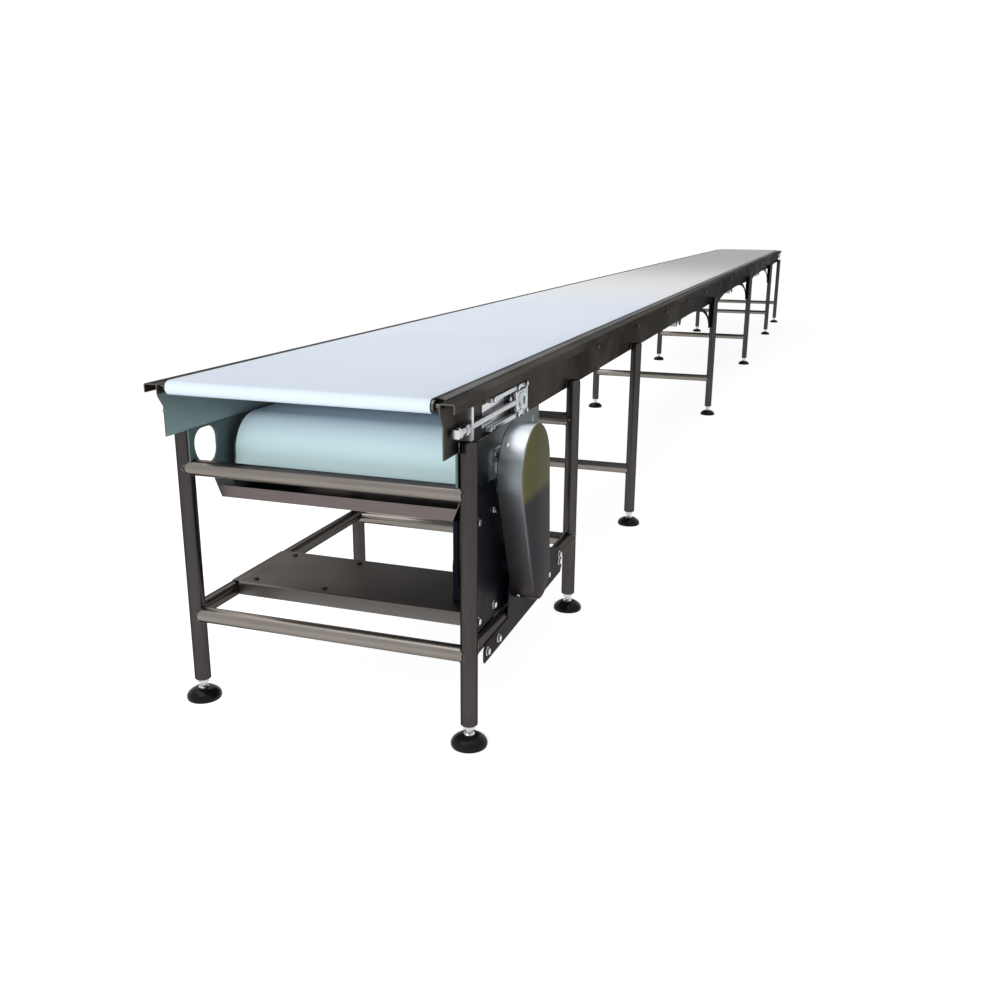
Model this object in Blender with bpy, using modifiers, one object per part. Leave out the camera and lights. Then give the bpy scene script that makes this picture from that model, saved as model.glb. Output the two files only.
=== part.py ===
"""Belt conveyor, 10 m long, with a centre-wound drum drive at its near end.

Metres, +Z up. The model is laid out from the drive end: X = 0 is the belt's centre line, Y = 0 the tip of
the nose, Z = 0 the floor. A parent empty moves it so that the world origin is the middle of its footprint.
"""

from math import asin, atan2, ceil, cos, pi, radians, sin

import bmesh
import bpy
from mathutils import Vector

# Overall
LENGTH = 10.08
BELT_WIDTH = 0.600
BELT_TOP = 0.785
BELT_THICKNESS = 0.003

# Fits
SEAT_GAP = 0.0003
RUNNING_GAP = 0.0003
SIDE_CLEARANCE = 0.0155

# Rollers: radii, axles and the places that the belt's run leaves free
NOSE_RADIUS = 0.012
NOSE_AXLE_RADIUS = 0.0045
DRUM_RADIUS = 0.084
DRUM_SHELL = 0.006
DRUM_DISC = 0.010
DRUM_DISC_RECESS = 0.012
DRUM_SHAFT_RADIUS = 0.015
DRUM_Y = 0.330
DRUM_OVERHANG = 0.009
DRUM_RELIEF_HOLES = 5
DRUM_RELIEF_RADIUS = 0.016
TENSION_RADIUS = 0.0445
TENSION_Y = 0.460
SNUB_RADIUS = 0.0445
SNUB_Y = 0.620
TAIL_RADIUS = 0.0495
TAIL_SHAFT_RADIUS = 0.0125
TAIL_RELIEF_HOLES = 3
TAIL_RELIEF_RADIUS = 0.009
RETURN_RADIUS = 0.025
IDLER_AXLE_RADIUS = 0.010
ROLLER_OVERHANG = 0.006

# Side frames: a folded channel, a web with a flange that turns down at its lip
WEB_THICKNESS = 0.003
WEB_BOTTOM = BELT_TOP - 0.124
WEB_SETBACK = 0.001
FLANGE_TOP = BELT_TOP - 0.007
FLANGE_WIDTH = 0.0335
LIP_DEPTH = 0.020
NOSE_CUT_TOP = BELT_TOP - 0.033
NOSE_CUT_BOTTOM = BELT_TOP - 0.058
NOSE_CUT_BACK = 0.018
EAR_HALF_WIDTH = 0.020
EAR_TAPER = 0.035
EAR_COVER = 0.018
GUSSET_DEPTH = 0.150
GUSSET_REACH = 0.850
GUSSET_FLAT = 0.050
GUSSET_SPAN_STEPS = 7
GUSSET_RIM = 0.020
GUSSET_POST = 0.075
GUSSETED_FRAMES = (4, 5, 6)

# Slider bed
BED_SHEET = 0.0025
BED_LIP = 0.022
BED_END_GAP = 0.008

# Legs, cross tubes and braces
TUBE_RADIUS = 0.019
TUBE_WALL = 0.0015
CROSS_TUBE_STEP = 0.0005
LEG_TOP = WEB_BOTTOM + 0.024
LEG_BOTTOM = 0.0505
LEG_PLUG = 0.020
LOWER_TUBE_Z = 0.216
UPPER_TUBE_DROP = 0.112
BRACE_Z = 0.2245
FIRST_FRAMES_Y = (0.105, 0.943, 1.844, 4.160)
LAST_FRAMES_FROM_TAIL = (3.680, 1.430, 0.150)
TALL_FRAMES = (1, 2)
VENT_RADIUS = 0.006

# Levelling feet
SPINDLE_RADIUS = 0.008
SPINDLE_TOP = 0.130
PAD_RADIUS = 0.041
PAD_EDGE = 0.012
PAD_CROWN = 0.027
PAD_COLLAR = 0.003
PAD_NECK_RADIUS = 0.015
FOOT_NUT_RADIUS = 0.0135
FOOT_NUT_HEIGHT = 0.011

# Bearing plates, which carry the drum and the snub roller below the web
BEARING_PLATE = 0.005
PLATE_FRONT_Y = 0.0925
PLATE_FRONT_DROP = WEB_BOTTOM - 0.111
PLATE_BELOW_PAN = 0.002
PLATE_STEP_Y = 0.240
PLATE_LOW_BACK_Y = 0.560
PLATE_BACK_Y = 0.670
PLATE_BACK_DROP = 0.059
HAND_HOLE_Y = (0.110, 0.196)
HAND_HOLE_DROP = (0.090, 0.004)
HAND_HOLE_ROUND = 0.032
HAND_HOLE_FRONT_ROUND = 0.052
HOUSING_SIZE = 0.100
HOUSING_FLANGE = 0.013
HOUSING_BOSS_RADIUS = 0.036
HOUSING_DEPTH = 0.028
TAIL_HOUSING_SIZE = 0.078
TAIL_HOUSING_BOSS_RADIUS = 0.029
TAIL_HOUSING_DEPTH = 0.024

# Screw take-up of the tension roller
TAKEUP_TRAVEL = 0.045
TAKEUP_BLOCK_LENGTH = 0.070
TAKEUP_BLOCK_HEIGHT = 0.050
TAKEUP_BLOCK_DEPTH = 0.026
TAKEUP_SCREW_RADIUS = 0.007
TAKEUP_SCREW_FRONT = 0.046
TAKEUP_SCREW_GRIP = 0.014
TAKEUP_HEAD_LENGTH = 0.010
TAKEUP_HEAD_RADIUS = 0.012
TAKEUP_SCREW_OUT = 0.014
BRACKET_BACK = 0.005
BRACKET_THICKNESS = 0.012
BRACKET_HEIGHT = 0.072
BRACKET_DEPTH = 0.028

# Chain drive and its guard
MOTOR_Y = 0.387
MOTOR_Z = 0.320
CHAIN_PITCH = 0.01905
DRUM_TEETH = 28
MOTOR_TEETH = 14
TOOTH_HEIGHT = 0.0042
TOOTH_DEPTH = 0.0040
SPROCKET_OUT = 0.0229
SPROCKET_WIDTH = 0.007
SPROCKET_HUB_DEPTH = 0.020
SPROCKET_HUB_WALL = 0.012
CHAIN_WIDTH = 0.014
CHAIN_HEIGHT = 0.008
GUARD_DEPTH = 0.0599
GUARD_SHEET = 0.0015
GUARD_ROOM_DRUM = 0.0095
GUARD_ROOM_MOTOR = 0.013
BACKPLATE = 0.002
SHAFT_WINDOW_RADIUS = 0.034
SKIRT_BOTTOM = 0.180
SKIRT_FRONT_Y = 0.140
SKIRT_KNEE_Y = 0.306
SKIRT_BACK_Y = 0.780
SKIRT_FRONT_TOP = 0.224
SKIRT_BACK_TOP = 0.250
GUARD_INSIDE_END = 0.012

# Gear motor and what it stands on
SHELF_FRONT_Y = 0.250
SHELF_BACK_Y = 0.500
SHELF_SHEET = 0.003
SHELF_LIP = 0.030
SHELF_OVERHANG = 0.004
MOTOR_PLATE = 0.006
MOTOR_PLATE_BACK_Y = 0.470
MOTOR_PLATE_TALL_Y = 0.270
MOTOR_PLATE_DROP = 0.095
HOUSING_CLEARANCE = 0.003
GEARBOX_WIDTH = 0.125
GEARBOX_LENGTH = 0.150
GEARBOX_BELOW_PAN = 0.018
OUTPUT_SHAFT_RADIUS = 0.0125
OUTPUT_SHAFT_GRIP = 0.040
MOTOR_RADIUS = 0.062
MOTOR_BODY_LENGTH = 0.205
MOTOR_SIDE = 0.003
MOTOR_ABOVE_SHELF = 0.030
COWL_LENGTH = 0.062
COWL_WALL = 0.0015
TERMINAL_BOX_SIZE = (0.080, 0.086, 0.042)
TERMINAL_BOX_BACK = 0.060

# Drip pan under the drum
PAN_SHEET = 0.002
PAN_CLEARANCE = 0.008
PAN_FRONT_Y = 0.155
PAN_FRONT_RISE = 0.0155
PAN_SLOPE_BACK_Y = 0.215
PAN_LIP_HEIGHT = 0.0275
PAN_BACK_Y = 0.558
PAN_BACK_LIP = 0.020
PAN_EAR_FRONT_Y = 0.262
PAN_INSET = 0.0145
PAN_END_LEAN = 0.40
PAN_END_BELOW_PLATE = 0.0025

# Roundness
TUBE_SIDES = 10
FOOT_SIDES = 10
SHAFT_SIDES = 12
FINE_SIDES = 16
VENT_SIDES = 8
DRUM_SIDES = 28
TAIL_SIDES = 20
ROLLER_SIDES = 16
ARC_STEP = radians(9)
SLIVER_AREA = 1e-9


def belt_reach(radius):
    """How far the belt's far face lies from a roller's axis, its chords clear of the roller."""
    return (radius + RUNNING_GAP) / cos(ARC_STEP / 2) + BELT_THICKNESS


def pitch_radius(teeth):
    """The radius of the circle that the chain's pins run on."""
    return CHAIN_PITCH / (2 * sin(pi / teeth))


# Worked out from the values above
BELT_HALF = BELT_WIDTH / 2
WEB_INNER = BELT_HALF + SIDE_CLEARANCE + WEB_THICKNESS
WEB_OUTER = WEB_INNER + WEB_THICKNESS
RAIL_HALF = WEB_INNER + FLANGE_WIDTH
CROSS_TUBE_RADIUS = TUBE_RADIUS - CROSS_TUBE_STEP
LEG_X = WEB_OUTER + SEAT_GAP + TUBE_RADIUS
UPPER_TUBE_Z = LEG_TOP - UPPER_TUBE_DROP
LEG_FRAMES_Y = (*FIRST_FRAMES_Y, *(LENGTH - back for back in LAST_FRAMES_FROM_TAIL))
RETURN_ROLLERS_Y = tuple((LEG_FRAMES_Y[i] + LEG_FRAMES_Y[i + 1]) / 2 for i in (2, 3, 4))
BRACKET_FRONT = LEG_FRAMES_Y[0] + BRACKET_BACK - BRACKET_THICKNESS
BRACKET_TOP = LEG_TOP + BRACKET_HEIGHT
NOSE_Y = belt_reach(NOSE_RADIUS)
NOSE_Z = BELT_TOP - belt_reach(NOSE_RADIUS)
TENSION_FACE = belt_reach(TENSION_RADIUS) - BELT_THICKNESS
TENSION_Z = NOSE_Z - belt_reach(NOSE_RADIUS) - TENSION_FACE
DRUM_Z = TENSION_Z - TENSION_FACE - belt_reach(DRUM_RADIUS)
TAIL_Y = LENGTH - belt_reach(TAIL_RADIUS)
TAIL_Z = BELT_TOP - belt_reach(TAIL_RADIUS)
RETURN_FACE = TAIL_Z - belt_reach(TAIL_RADIUS)
SNUB_Z = RETURN_FACE - belt_reach(SNUB_RADIUS) + BELT_THICKNESS
RETURN_Z = RETURN_FACE - RUNNING_GAP - RETURN_RADIUS
ROLLER_HALF = BELT_HALF + ROLLER_OVERHANG
DRUM_HALF = BELT_HALF + DRUM_OVERHANG
OUTSIDE_WEB = WEB_OUTER + SEAT_GAP
BACKPLATE_INNER = LEG_X + TUBE_RADIUS + SEAT_GAP
GUARD_INNER = BACKPLATE_INNER + BACKPLATE + SEAT_GAP
GUARD_OUTER_X = BACKPLATE_INNER + GUARD_DEPTH
SPROCKET_X = BACKPLATE_INNER + SPROCKET_OUT
GUARD_DRUM_RADIUS = pitch_radius(DRUM_TEETH) + TOOTH_HEIGHT + CHAIN_HEIGHT + GUARD_ROOM_DRUM
GUARD_MOTOR_RADIUS = pitch_radius(MOTOR_TEETH) + TOOTH_HEIGHT + CHAIN_HEIGHT + GUARD_ROOM_MOTOR
SHELF_UNDER = BRACE_Z + TUBE_RADIUS + SEAT_GAP
SHELF_TOP = SHELF_UNDER + SHELF_SHEET
MOTOR_PLATE_INNER = LEG_X - MOTOR_PLATE / 2
PAN_FLOOR = DRUM_Z - belt_reach(DRUM_RADIUS) - PAN_CLEARANCE
PAN_UNDER = PAN_FLOOR - PAN_SHEET
PLATE_BOTTOM = PAN_UNDER - PLATE_BELOW_PAN
GEARBOX_TOP = PAN_UNDER - GEARBOX_BELOW_PAN

# World offset of the layout: the middle of the footprint goes to the origin
CENTRE_X = (GUARD_OUTER_X - LEG_X - PAD_RADIUS) / 2
CENTRE_Y = LENGTH / 2

ALONG_X = (0, pi / 2, 0)
ALONG_Y = (-pi / 2, 0, 0)
ALONG_Z = (0, 0, 0)
SECTION_TO_X = (pi / 2, 0, pi / 2)
SECTION_TO_Y = (pi / 2, 0, 0)


def clear_scene():
    """Remove whatever the start-up file holds."""
    for obj in list(bpy.data.objects):
        bpy.data.objects.remove(obj, do_unlink=True)


def make_collection(name):
    """A new collection linked to the scene."""
    collection = bpy.data.collections.new(name)
    bpy.context.scene.collection.children.link(collection)
    return collection


def make_material(name, color, metallic, roughness):
    """A Principled material with one colour."""
    material = bpy.data.materials.new(name)
    material.use_nodes = True
    shader = material.node_tree.nodes["Principled BSDF"]
    shader.inputs["Base Color"].default_value = (*color, 1)
    shader.inputs["Metallic"].default_value = metallic
    shader.inputs["Roughness"].default_value = roughness
    return material


class Shop:
    """Holds the collections, the parent empty and the materials while the parts are made."""

    def __init__(self):
        self.parts = make_collection("belt_conveyor")
        self.helpers = make_collection("cutters")
        self.origin = bpy.data.objects.new("conveyor_origin", None)
        self.origin.location = (-CENTRE_X, -CENTRE_Y, 0)
        self.parts.objects.link(self.origin)
        self.materials = {
            "stainless": make_material("stainless", (0.36, 0.33, 0.31), 1.0, 0.36),
            "tube": make_material("tube", (0.24, 0.22, 0.21), 1.0, 0.40),
            "belt": make_material("belt", (0.70, 0.76, 0.84), 0.0, 0.42),
            "roller": make_material("roller", (0.55, 0.57, 0.58), 1.0, 0.32),
            "casting": make_material("casting", (0.30, 0.32, 0.34), 0.6, 0.45),
            "dark_paint": make_material("dark_paint", (0.012, 0.013, 0.018), 0.2, 0.42),
            "guard": make_material("guard", (0.25, 0.27, 0.29), 1.0, 0.40),
            "foot": make_material("foot", (0.010, 0.010, 0.010), 0.0, 0.25),
            "chain": make_material("chain", (0.10, 0.09, 0.08), 1.0, 0.50),
            "zinc": make_material("zinc", (0.60, 0.60, 0.58), 1.0, 0.30),
        }

    def place(self, obj, material=None, helper=False):
        """Link an object under the parent empty, as a part or as a hidden helper."""
        obj.parent = self.origin
        if helper:
            self.helpers.objects.link(obj)
            obj.hide_render = True
            obj.display_type = "WIRE"
        else:
            self.parts.objects.link(obj)
            obj.data.materials.clear()
            obj.data.materials.append(self.materials[material])
        return obj


def evaluated_mesh(obj, name):
    """The object's mesh with its modifiers applied and its seams welded."""
    bpy.context.view_layer.update()
    graph = bpy.context.evaluated_depsgraph_get()
    mesh = bpy.data.meshes.new_from_object(obj.evaluated_get(graph))
    mesh.name = name
    work = bmesh.new()
    work.from_mesh(mesh)
    bmesh.ops.remove_doubles(work, verts=work.verts, dist=0.00001)
    work.to_mesh(mesh)
    work.free()
    return mesh


def turned(shop, name, profile, where, turn, material=None, sides=ROLLER_SIDES, ring=False, helper=False):
    """A turned piece: profile is (radius, height) from the top down, ring closes it clear of the axis."""
    mesh = bpy.data.meshes.new(name)
    edges = [(i, i + 1) for i in range(len(profile) - 1)]
    if ring:
        edges.append((len(profile) - 1, 0))
    mesh.from_pydata([(radius, 0, height) for radius, height in profile], edges, [])
    obj = bpy.data.objects.new(name, mesh)
    shop.place(obj, material, helper)
    obj.location = where
    obj.rotation_euler = turn
    screw = obj.modifiers.new("turn", "SCREW")
    screw.steps = sides
    screw.render_steps = sides
    screw.use_merge_vertices = True
    screw.merge_threshold = 0.00001
    return obj


def even_caps(mesh):
    """Turn the long slivers in a filled outline's two faces into triangles that a Boolean can cut."""
    work = bmesh.new()
    work.from_mesh(mesh)
    bmesh.ops.triangulate(work, faces=work.faces)
    caps = [face for face in work.faces if abs(face.normal.z) > 0.9 or face.calc_area() < SLIVER_AREA]
    inside = [edge for edge in work.edges if all(face in caps for face in edge.link_faces)]
    bmesh.ops.beautify_fill(work, faces=caps, edges=inside, method="ANGLE")
    work.to_mesh(mesh)
    work.free()


def flat_outline(shop, name, outlines, low, high, turn, material=None, helper=False):
    """A flat piece: closed outlines in its own plane, the first outside and the rest holes."""
    curve = bpy.data.curves.new(name, "CURVE")
    curve.dimensions = "2D"
    curve.fill_mode = "BOTH"
    curve.extrude = (high - low) / 2
    for outline in outlines:
        spline = curve.splines.new("POLY")
        spline.points.add(len(outline) - 1)
        for point, (across, up) in zip(spline.points, outline):
            point.co = (across, up, 0, 1)
        spline.use_cyclic_u = True
    drawn = bpy.data.objects.new(name, curve)
    shop.place(drawn, helper=True)
    drawn.rotation_euler = turn
    mesh = evaluated_mesh(drawn, name)
    even_caps(mesh)
    bpy.data.objects.remove(drawn)
    bpy.data.curves.remove(curve)
    obj = bpy.data.objects.new(name, mesh)
    shop.place(obj, material, helper)
    obj.rotation_euler = turn
    middle = (high + low) / 2
    obj.location = (middle, 0, 0) if turn == SECTION_TO_X else (0, middle, 0)
    return obj


def plate(shop, name, outlines, low_x, high_x, material=None, helper=False):
    """A plate that stands along the conveyor: outlines in Y and Z, between two values of X."""
    return flat_outline(shop, name, outlines, low_x, high_x, SECTION_TO_X, material, helper)


def rail(shop, name, outline, low_y, high_y, material=None, helper=False):
    """A folded section that runs along the conveyor: outline in X and Z, between two values of Y."""
    return flat_outline(shop, name, [outline], low_y, high_y, SECTION_TO_Y, material, helper)


def block(shop, name, low, high, material=None, bevel=0.0, helper=False):
    """A box between two corners, its edges rounded by a Bevel."""
    low = Vector(low)
    high = Vector(high)
    mesh = bpy.data.meshes.new(name)
    work = bmesh.new()
    bmesh.ops.create_cube(work, size=1)
    bmesh.ops.scale(work, vec=high - low, verts=work.verts)
    work.to_mesh(mesh)
    work.free()
    obj = bpy.data.objects.new(name, mesh)
    shop.place(obj, material, helper)
    obj.location = (low + high) / 2
    if bevel:
        rounding = obj.modifiers.new("rounding", "BEVEL")
        rounding.width = bevel
        rounding.segments = 2
    return obj


def rod(shop, name, radius, where, turn, low, high, material=None, sides=SHAFT_SIDES, helper=False):
    """A plain round bar along its own axis."""
    profile = [(0, high), (radius, high), (radius, low), (0, low)]
    return turned(shop, name, profile, where, turn, material, sides, helper=helper)


def combine(obj, other, operation, solver="EXACT"):
    """Add a Boolean of a hidden helper to an object."""
    boolean = obj.modifiers.new(other.name, "BOOLEAN")
    boolean.operation = operation
    boolean.solver = solver
    boolean.object = other
    return obj


def side_name(side):
    return "left" if side < 0 else "right"


def side_span(side, near, far):
    """The low and high X of something that lies between two distances from the centre line."""
    return (near, far) if side > 0 else (-far, -near)


def circle(centre_y, centre_z, radius, sides=SHAFT_SIDES):
    """Points round a circle in a plate's plane."""
    turns = [2 * pi * i / sides for i in range(sides)]
    return [(centre_y + radius * cos(a), centre_z + radius * sin(a)) for a in turns]


def running_bore(radius, sides=SHAFT_SIDES):
    """The corner radius of a bore whose flats clear a shaft of the given radius."""
    return (radius + RUNNING_GAP) / cos(pi / sides)


def rounded_box(low, high, radius, steps=4, front_radius=None):
    """A rectangle with round corners, counter-clockwise; the lower front one may have its own radius."""
    front = front_radius or radius
    corners = (
        (high[0] - radius, high[1] - radius, radius),
        (low[0] + radius, high[1] - radius, radius),
        (low[0] + front, low[1] + front, front),
        (high[0] - radius, low[1] + radius, radius),
    )
    points = []
    for quarter, (across, up, corner) in enumerate(corners):
        for i in range(steps + 1):
            angle = pi / 2 * (quarter + i / steps)
            points.append((across + corner * cos(angle), up + corner * sin(angle)))
    return points


def tangent_heading(here, there):
    """The heading of the line that leaves one wheel and meets the next. A wheel is (y, z, radius, turn)."""
    dy = there[0] - here[0]
    dz = there[1] - here[1]
    reach = there[2] * there[3] - here[2] * here[3]
    return atan2(dz, dy) - asin(reach / (dy * dy + dz * dz) ** 0.5)


def wrapped_loop(wheels, offset=0.0):
    """A closed loop round wheels whose turn is +1 where it goes round counter-clockwise, else -1."""
    headings = [tangent_heading(wheels[i], wheels[(i + 1) % len(wheels)]) for i in range(len(wheels))]
    points = []
    for i, (y, z, radius, turn) in enumerate(wheels):
        start = headings[i - 1]
        wrap = ((headings[i] - start) * turn) % (2 * pi)
        steps = max(1, ceil(wrap / ARC_STEP))
        for step in range(steps + 1):
            heading = start + turn * wrap * step / steps
            side = offset - turn * radius
            points.append((y - side * sin(heading), z + side * cos(heading)))
    return points


def belt_wheel(y, z, radius, turn):
    """The belt's middle line round a roller."""
    return (y, z, belt_reach(radius) - BELT_THICKNESS / 2, turn)


def make_belt(shop):
    """The endless belt: over the nose, back round the tension roller, round the drum, home under the bed."""
    wheels = (
        belt_wheel(NOSE_Y, NOSE_Z, NOSE_RADIUS, 1),
        belt_wheel(TENSION_Y, TENSION_Z, TENSION_RADIUS, -1),
        belt_wheel(DRUM_Y, DRUM_Z, DRUM_RADIUS, 1),
        belt_wheel(SNUB_Y, SNUB_Z, SNUB_RADIUS, -1),
        belt_wheel(TAIL_Y, TAIL_Z, TAIL_RADIUS, 1),
    )
    outside = wrapped_loop(wheels, -BELT_THICKNESS / 2)
    inside = wrapped_loop(wheels, BELT_THICKNESS / 2)
    plate(shop, "belt", [outside, inside], -BELT_HALF, BELT_HALF, "belt")


def idler(shop, name, y, z, radius, axle_radius, half_length, axle_half):
    """A roller on one axle, turned as a single piece."""
    profile = [
        (0, axle_half),
        (axle_radius, axle_half),
        (axle_radius, half_length),
        (radius, half_length),
        (radius, -half_length),
        (axle_radius, -half_length),
        (axle_radius, -axle_half),
        (0, -axle_half),
    ]
    return turned(shop, name, profile, (0, y, z), ALONG_X, "roller")


def hollow_drum(shop, name, y, z, radius, shaft, half_length, low, high, holes, hole_radius, sides):
    """A tube shell on two end discs and a through shaft, with relief holes in both discs."""
    inner = radius - DRUM_SHELL
    outer_disc = half_length - DRUM_DISC_RECESS
    inner_disc = outer_disc - DRUM_DISC
    profile = [
        (0, high),
        (shaft, high),
        (shaft, outer_disc),
        (inner, outer_disc),
        (inner, half_length),
        (radius, half_length),
        (radius, -half_length),
        (inner, -half_length),
        (inner, -outer_disc),
        (shaft, -outer_disc),
        (shaft, low),
        (0, low),
    ]
    drum = turned(shop, name, profile, (0, y, z), ALONG_X, "roller", sides)
    core = [(inner, inner_disc), (inner, -inner_disc), (shaft, -inner_disc), (shaft, inner_disc)]
    hollow = turned(shop, name + "_hollow", core, (0, y, z), ALONG_X, None, sides, True, True)
    combine(drum, hollow, "DIFFERENCE")
    hole_circle = (inner + shaft) / 2
    reach = half_length + DRUM_DISC
    for i in range(holes):
        angle = 2 * pi * (i + 0.5) / holes
        where = (0, y + hole_circle * cos(angle), z + hole_circle * sin(angle))
        drill = rod(
            shop, f"{name}_relief_{i + 1}", hole_radius, where, ALONG_X, -reach, reach,
            sides=TUBE_SIDES, helper=True,
        )
        combine(drum, drill, "DIFFERENCE")
    return drum


def make_rollers(shop):
    """Every roller that the belt runs on."""
    web_reach = WEB_OUTER - SEAT_GAP
    idler(shop, "nose_roller", NOSE_Y, NOSE_Z, NOSE_RADIUS, NOSE_AXLE_RADIUS, ROLLER_HALF, web_reach)
    block_reach = OUTSIDE_WEB + TAKEUP_BLOCK_DEPTH - BRACKET_THICKNESS / 2
    idler(shop, "tension_roller", TENSION_Y, TENSION_Z, TENSION_RADIUS, IDLER_AXLE_RADIUS, ROLLER_HALF, block_reach)
    idler(shop, "snub_roller", SNUB_Y, SNUB_Z, SNUB_RADIUS, IDLER_AXLE_RADIUS, ROLLER_HALF, web_reach)
    for i, y in enumerate(RETURN_ROLLERS_Y, 1):
        idler(shop, f"return_roller_{i}", y, RETURN_Z, RETURN_RADIUS, IDLER_AXLE_RADIUS, ROLLER_HALF, web_reach)
    drum_end = GUARD_OUTER_X - GUARD_SHEET - GUARD_INSIDE_END
    hollow_drum(
        shop, "drive_drum", DRUM_Y, DRUM_Z, DRUM_RADIUS, DRUM_SHAFT_RADIUS, DRUM_HALF,
        -(OUTSIDE_WEB + HOUSING_DEPTH), drum_end, DRUM_RELIEF_HOLES, DRUM_RELIEF_RADIUS, DRUM_SIDES,
    )
    tail_reach = OUTSIDE_WEB + TAIL_HOUSING_DEPTH
    hollow_drum(
        shop, "tail_drum", TAIL_Y, TAIL_Z, TAIL_RADIUS, TAIL_SHAFT_RADIUS, ROLLER_HALF,
        -tail_reach, tail_reach, TAIL_RELIEF_HOLES, TAIL_RELIEF_RADIUS, TAIL_SIDES,
    )


def arch(y, way, reach, low, top):
    """A quarter ellipse from beside a leg, at its lowest, out to the web's edge."""
    points = []
    for step in range(GUSSET_SPAN_STEPS + 1):
        angle = pi / 2 * step / GUSSET_SPAN_STEPS
        points.append((y + way * (GUSSET_FLAT + reach * (1 - cos(angle))), low + (top - low) * sin(angle)))
    return points


def gusset_edge(y):
    """The web's lower edge round a middle leg, from one arch's crown to the next."""
    reach = GUSSET_REACH - GUSSET_FLAT
    low = WEB_BOTTOM - GUSSET_DEPTH
    return arch(y, -1, reach, low, WEB_BOTTOM)[::-1] + arch(y, 1, reach, low, WEB_BOTTOM)


def gusset_hole(y, way):
    """The opening between a gusset's arch and the web above it."""
    low = WEB_BOTTOM - GUSSET_DEPTH + GUSSET_RIM
    curve = arch(y, way, GUSSET_REACH - GUSSET_FLAT, low, WEB_BOTTOM + GUSSET_RIM)
    top = WEB_BOTTOM - GUSSET_RIM / 2
    post = y + way * GUSSET_POST
    inside = [point for point in curve if point[1] < top and (point[0] - post) * way > 0]
    return [(post, top), (post, inside[0][1]), *inside, (inside[-1][0] + way * GUSSET_RIM * 2, top)]


def web_outline():
    """The web's edge: a cut-back nose, arched gussets at the middle legs and an ear for each return roller."""
    drops = [gusset_edge(LEG_FRAMES_Y[number - 1]) for number in GUSSETED_FRAMES]
    for y in RETURN_ROLLERS_Y:
        low = RETURN_Z - EAR_COVER
        drops.append([
            (y - EAR_TAPER, WEB_BOTTOM), (y - EAR_HALF_WIDTH, low),
            (y + EAR_HALF_WIDTH, low), (y + EAR_TAPER, WEB_BOTTOM),
        ])
    top = FLANGE_TOP - WEB_THICKNESS / 2
    tip = WEB_SETBACK
    outline = [(tip, top), (tip, NOSE_CUT_TOP), (NOSE_CUT_BACK, NOSE_CUT_BOTTOM), (NOSE_CUT_BACK, WEB_BOTTOM)]
    for drop in sorted(drops):
        outline += drop
    return outline + [(LENGTH - tip, WEB_BOTTOM), (LENGTH - tip, top)]


def web_holes():
    """Nose and return roller bores, the take-up slot, the tail shaft's hole and the gussets' openings."""
    idler_bore = running_bore(IDLER_AXLE_RADIUS)
    slot_low = (TENSION_Y - TAKEUP_TRAVEL - idler_bore - RUNNING_GAP, TENSION_Z - idler_bore)
    slot_high = (TENSION_Y + idler_bore + RUNNING_GAP, TENSION_Z + idler_bore)
    holes = [
        circle(NOSE_Y, NOSE_Z, running_bore(NOSE_AXLE_RADIUS, FINE_SIDES), FINE_SIDES),
        rounded_box(slot_low, slot_high, idler_bore - RUNNING_GAP),
        circle(TAIL_Y, TAIL_Z, running_bore(TAIL_SHAFT_RADIUS)),
    ]
    holes += [circle(y, RETURN_Z, idler_bore) for y in RETURN_ROLLERS_Y]
    return holes + [gusset_hole(LEG_FRAMES_Y[number - 1], way) for number in GUSSETED_FRAMES for way in (-1, 1)]


def flange_outline(side):
    """The folded flange and its lip, in X and Z, on one side."""
    bend = WEB_INNER + WEB_THICKNESS / 2
    rail_edge = [
        (bend, FLANGE_TOP),
        (RAIL_HALF, FLANGE_TOP),
        (RAIL_HALF, FLANGE_TOP - LIP_DEPTH),
        (RAIL_HALF - WEB_THICKNESS, FLANGE_TOP - LIP_DEPTH),
        (RAIL_HALF - WEB_THICKNESS, FLANGE_TOP - WEB_THICKNESS),
        (bend, FLANGE_TOP - WEB_THICKNESS),
    ]
    return [(side * x, z) for x, z in rail_edge]


def make_side_frames(shop):
    """The two folded channels that carry everything."""
    for side in (-1, 1):
        name = "side_frame_" + side_name(side)
        low, high = side_span(side, WEB_INNER, WEB_OUTER)
        web = plate(shop, name, [web_outline(), *web_holes()], low, high, "stainless")
        flange = rail(shop, name + "_flange", flange_outline(side), 0, LENGTH, helper=True)
        combine(web, flange, "UNION", "MANIFOLD")


def make_slider_bed(shop):
    """The sheet that the belt slides on, its long edges folded down against the webs."""
    top = BELT_TOP - BELT_THICKNESS - RUNNING_GAP
    half = WEB_INNER - SEAT_GAP
    outline = [
        (-half, top), (half, top), (half, top - BED_LIP), (half - BED_SHEET, top - BED_LIP),
        (half - BED_SHEET, top - BED_SHEET), (BED_SHEET - half, top - BED_SHEET),
        (BED_SHEET - half, top - BED_LIP), (-half, top - BED_LIP),
    ]
    front = NOSE_Y + NOSE_RADIUS + BED_END_GAP
    back = TAIL_Y - TAIL_RADIUS - BED_END_GAP
    rail(shop, "slider_bed", outline, front, back, "stainless")


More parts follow.
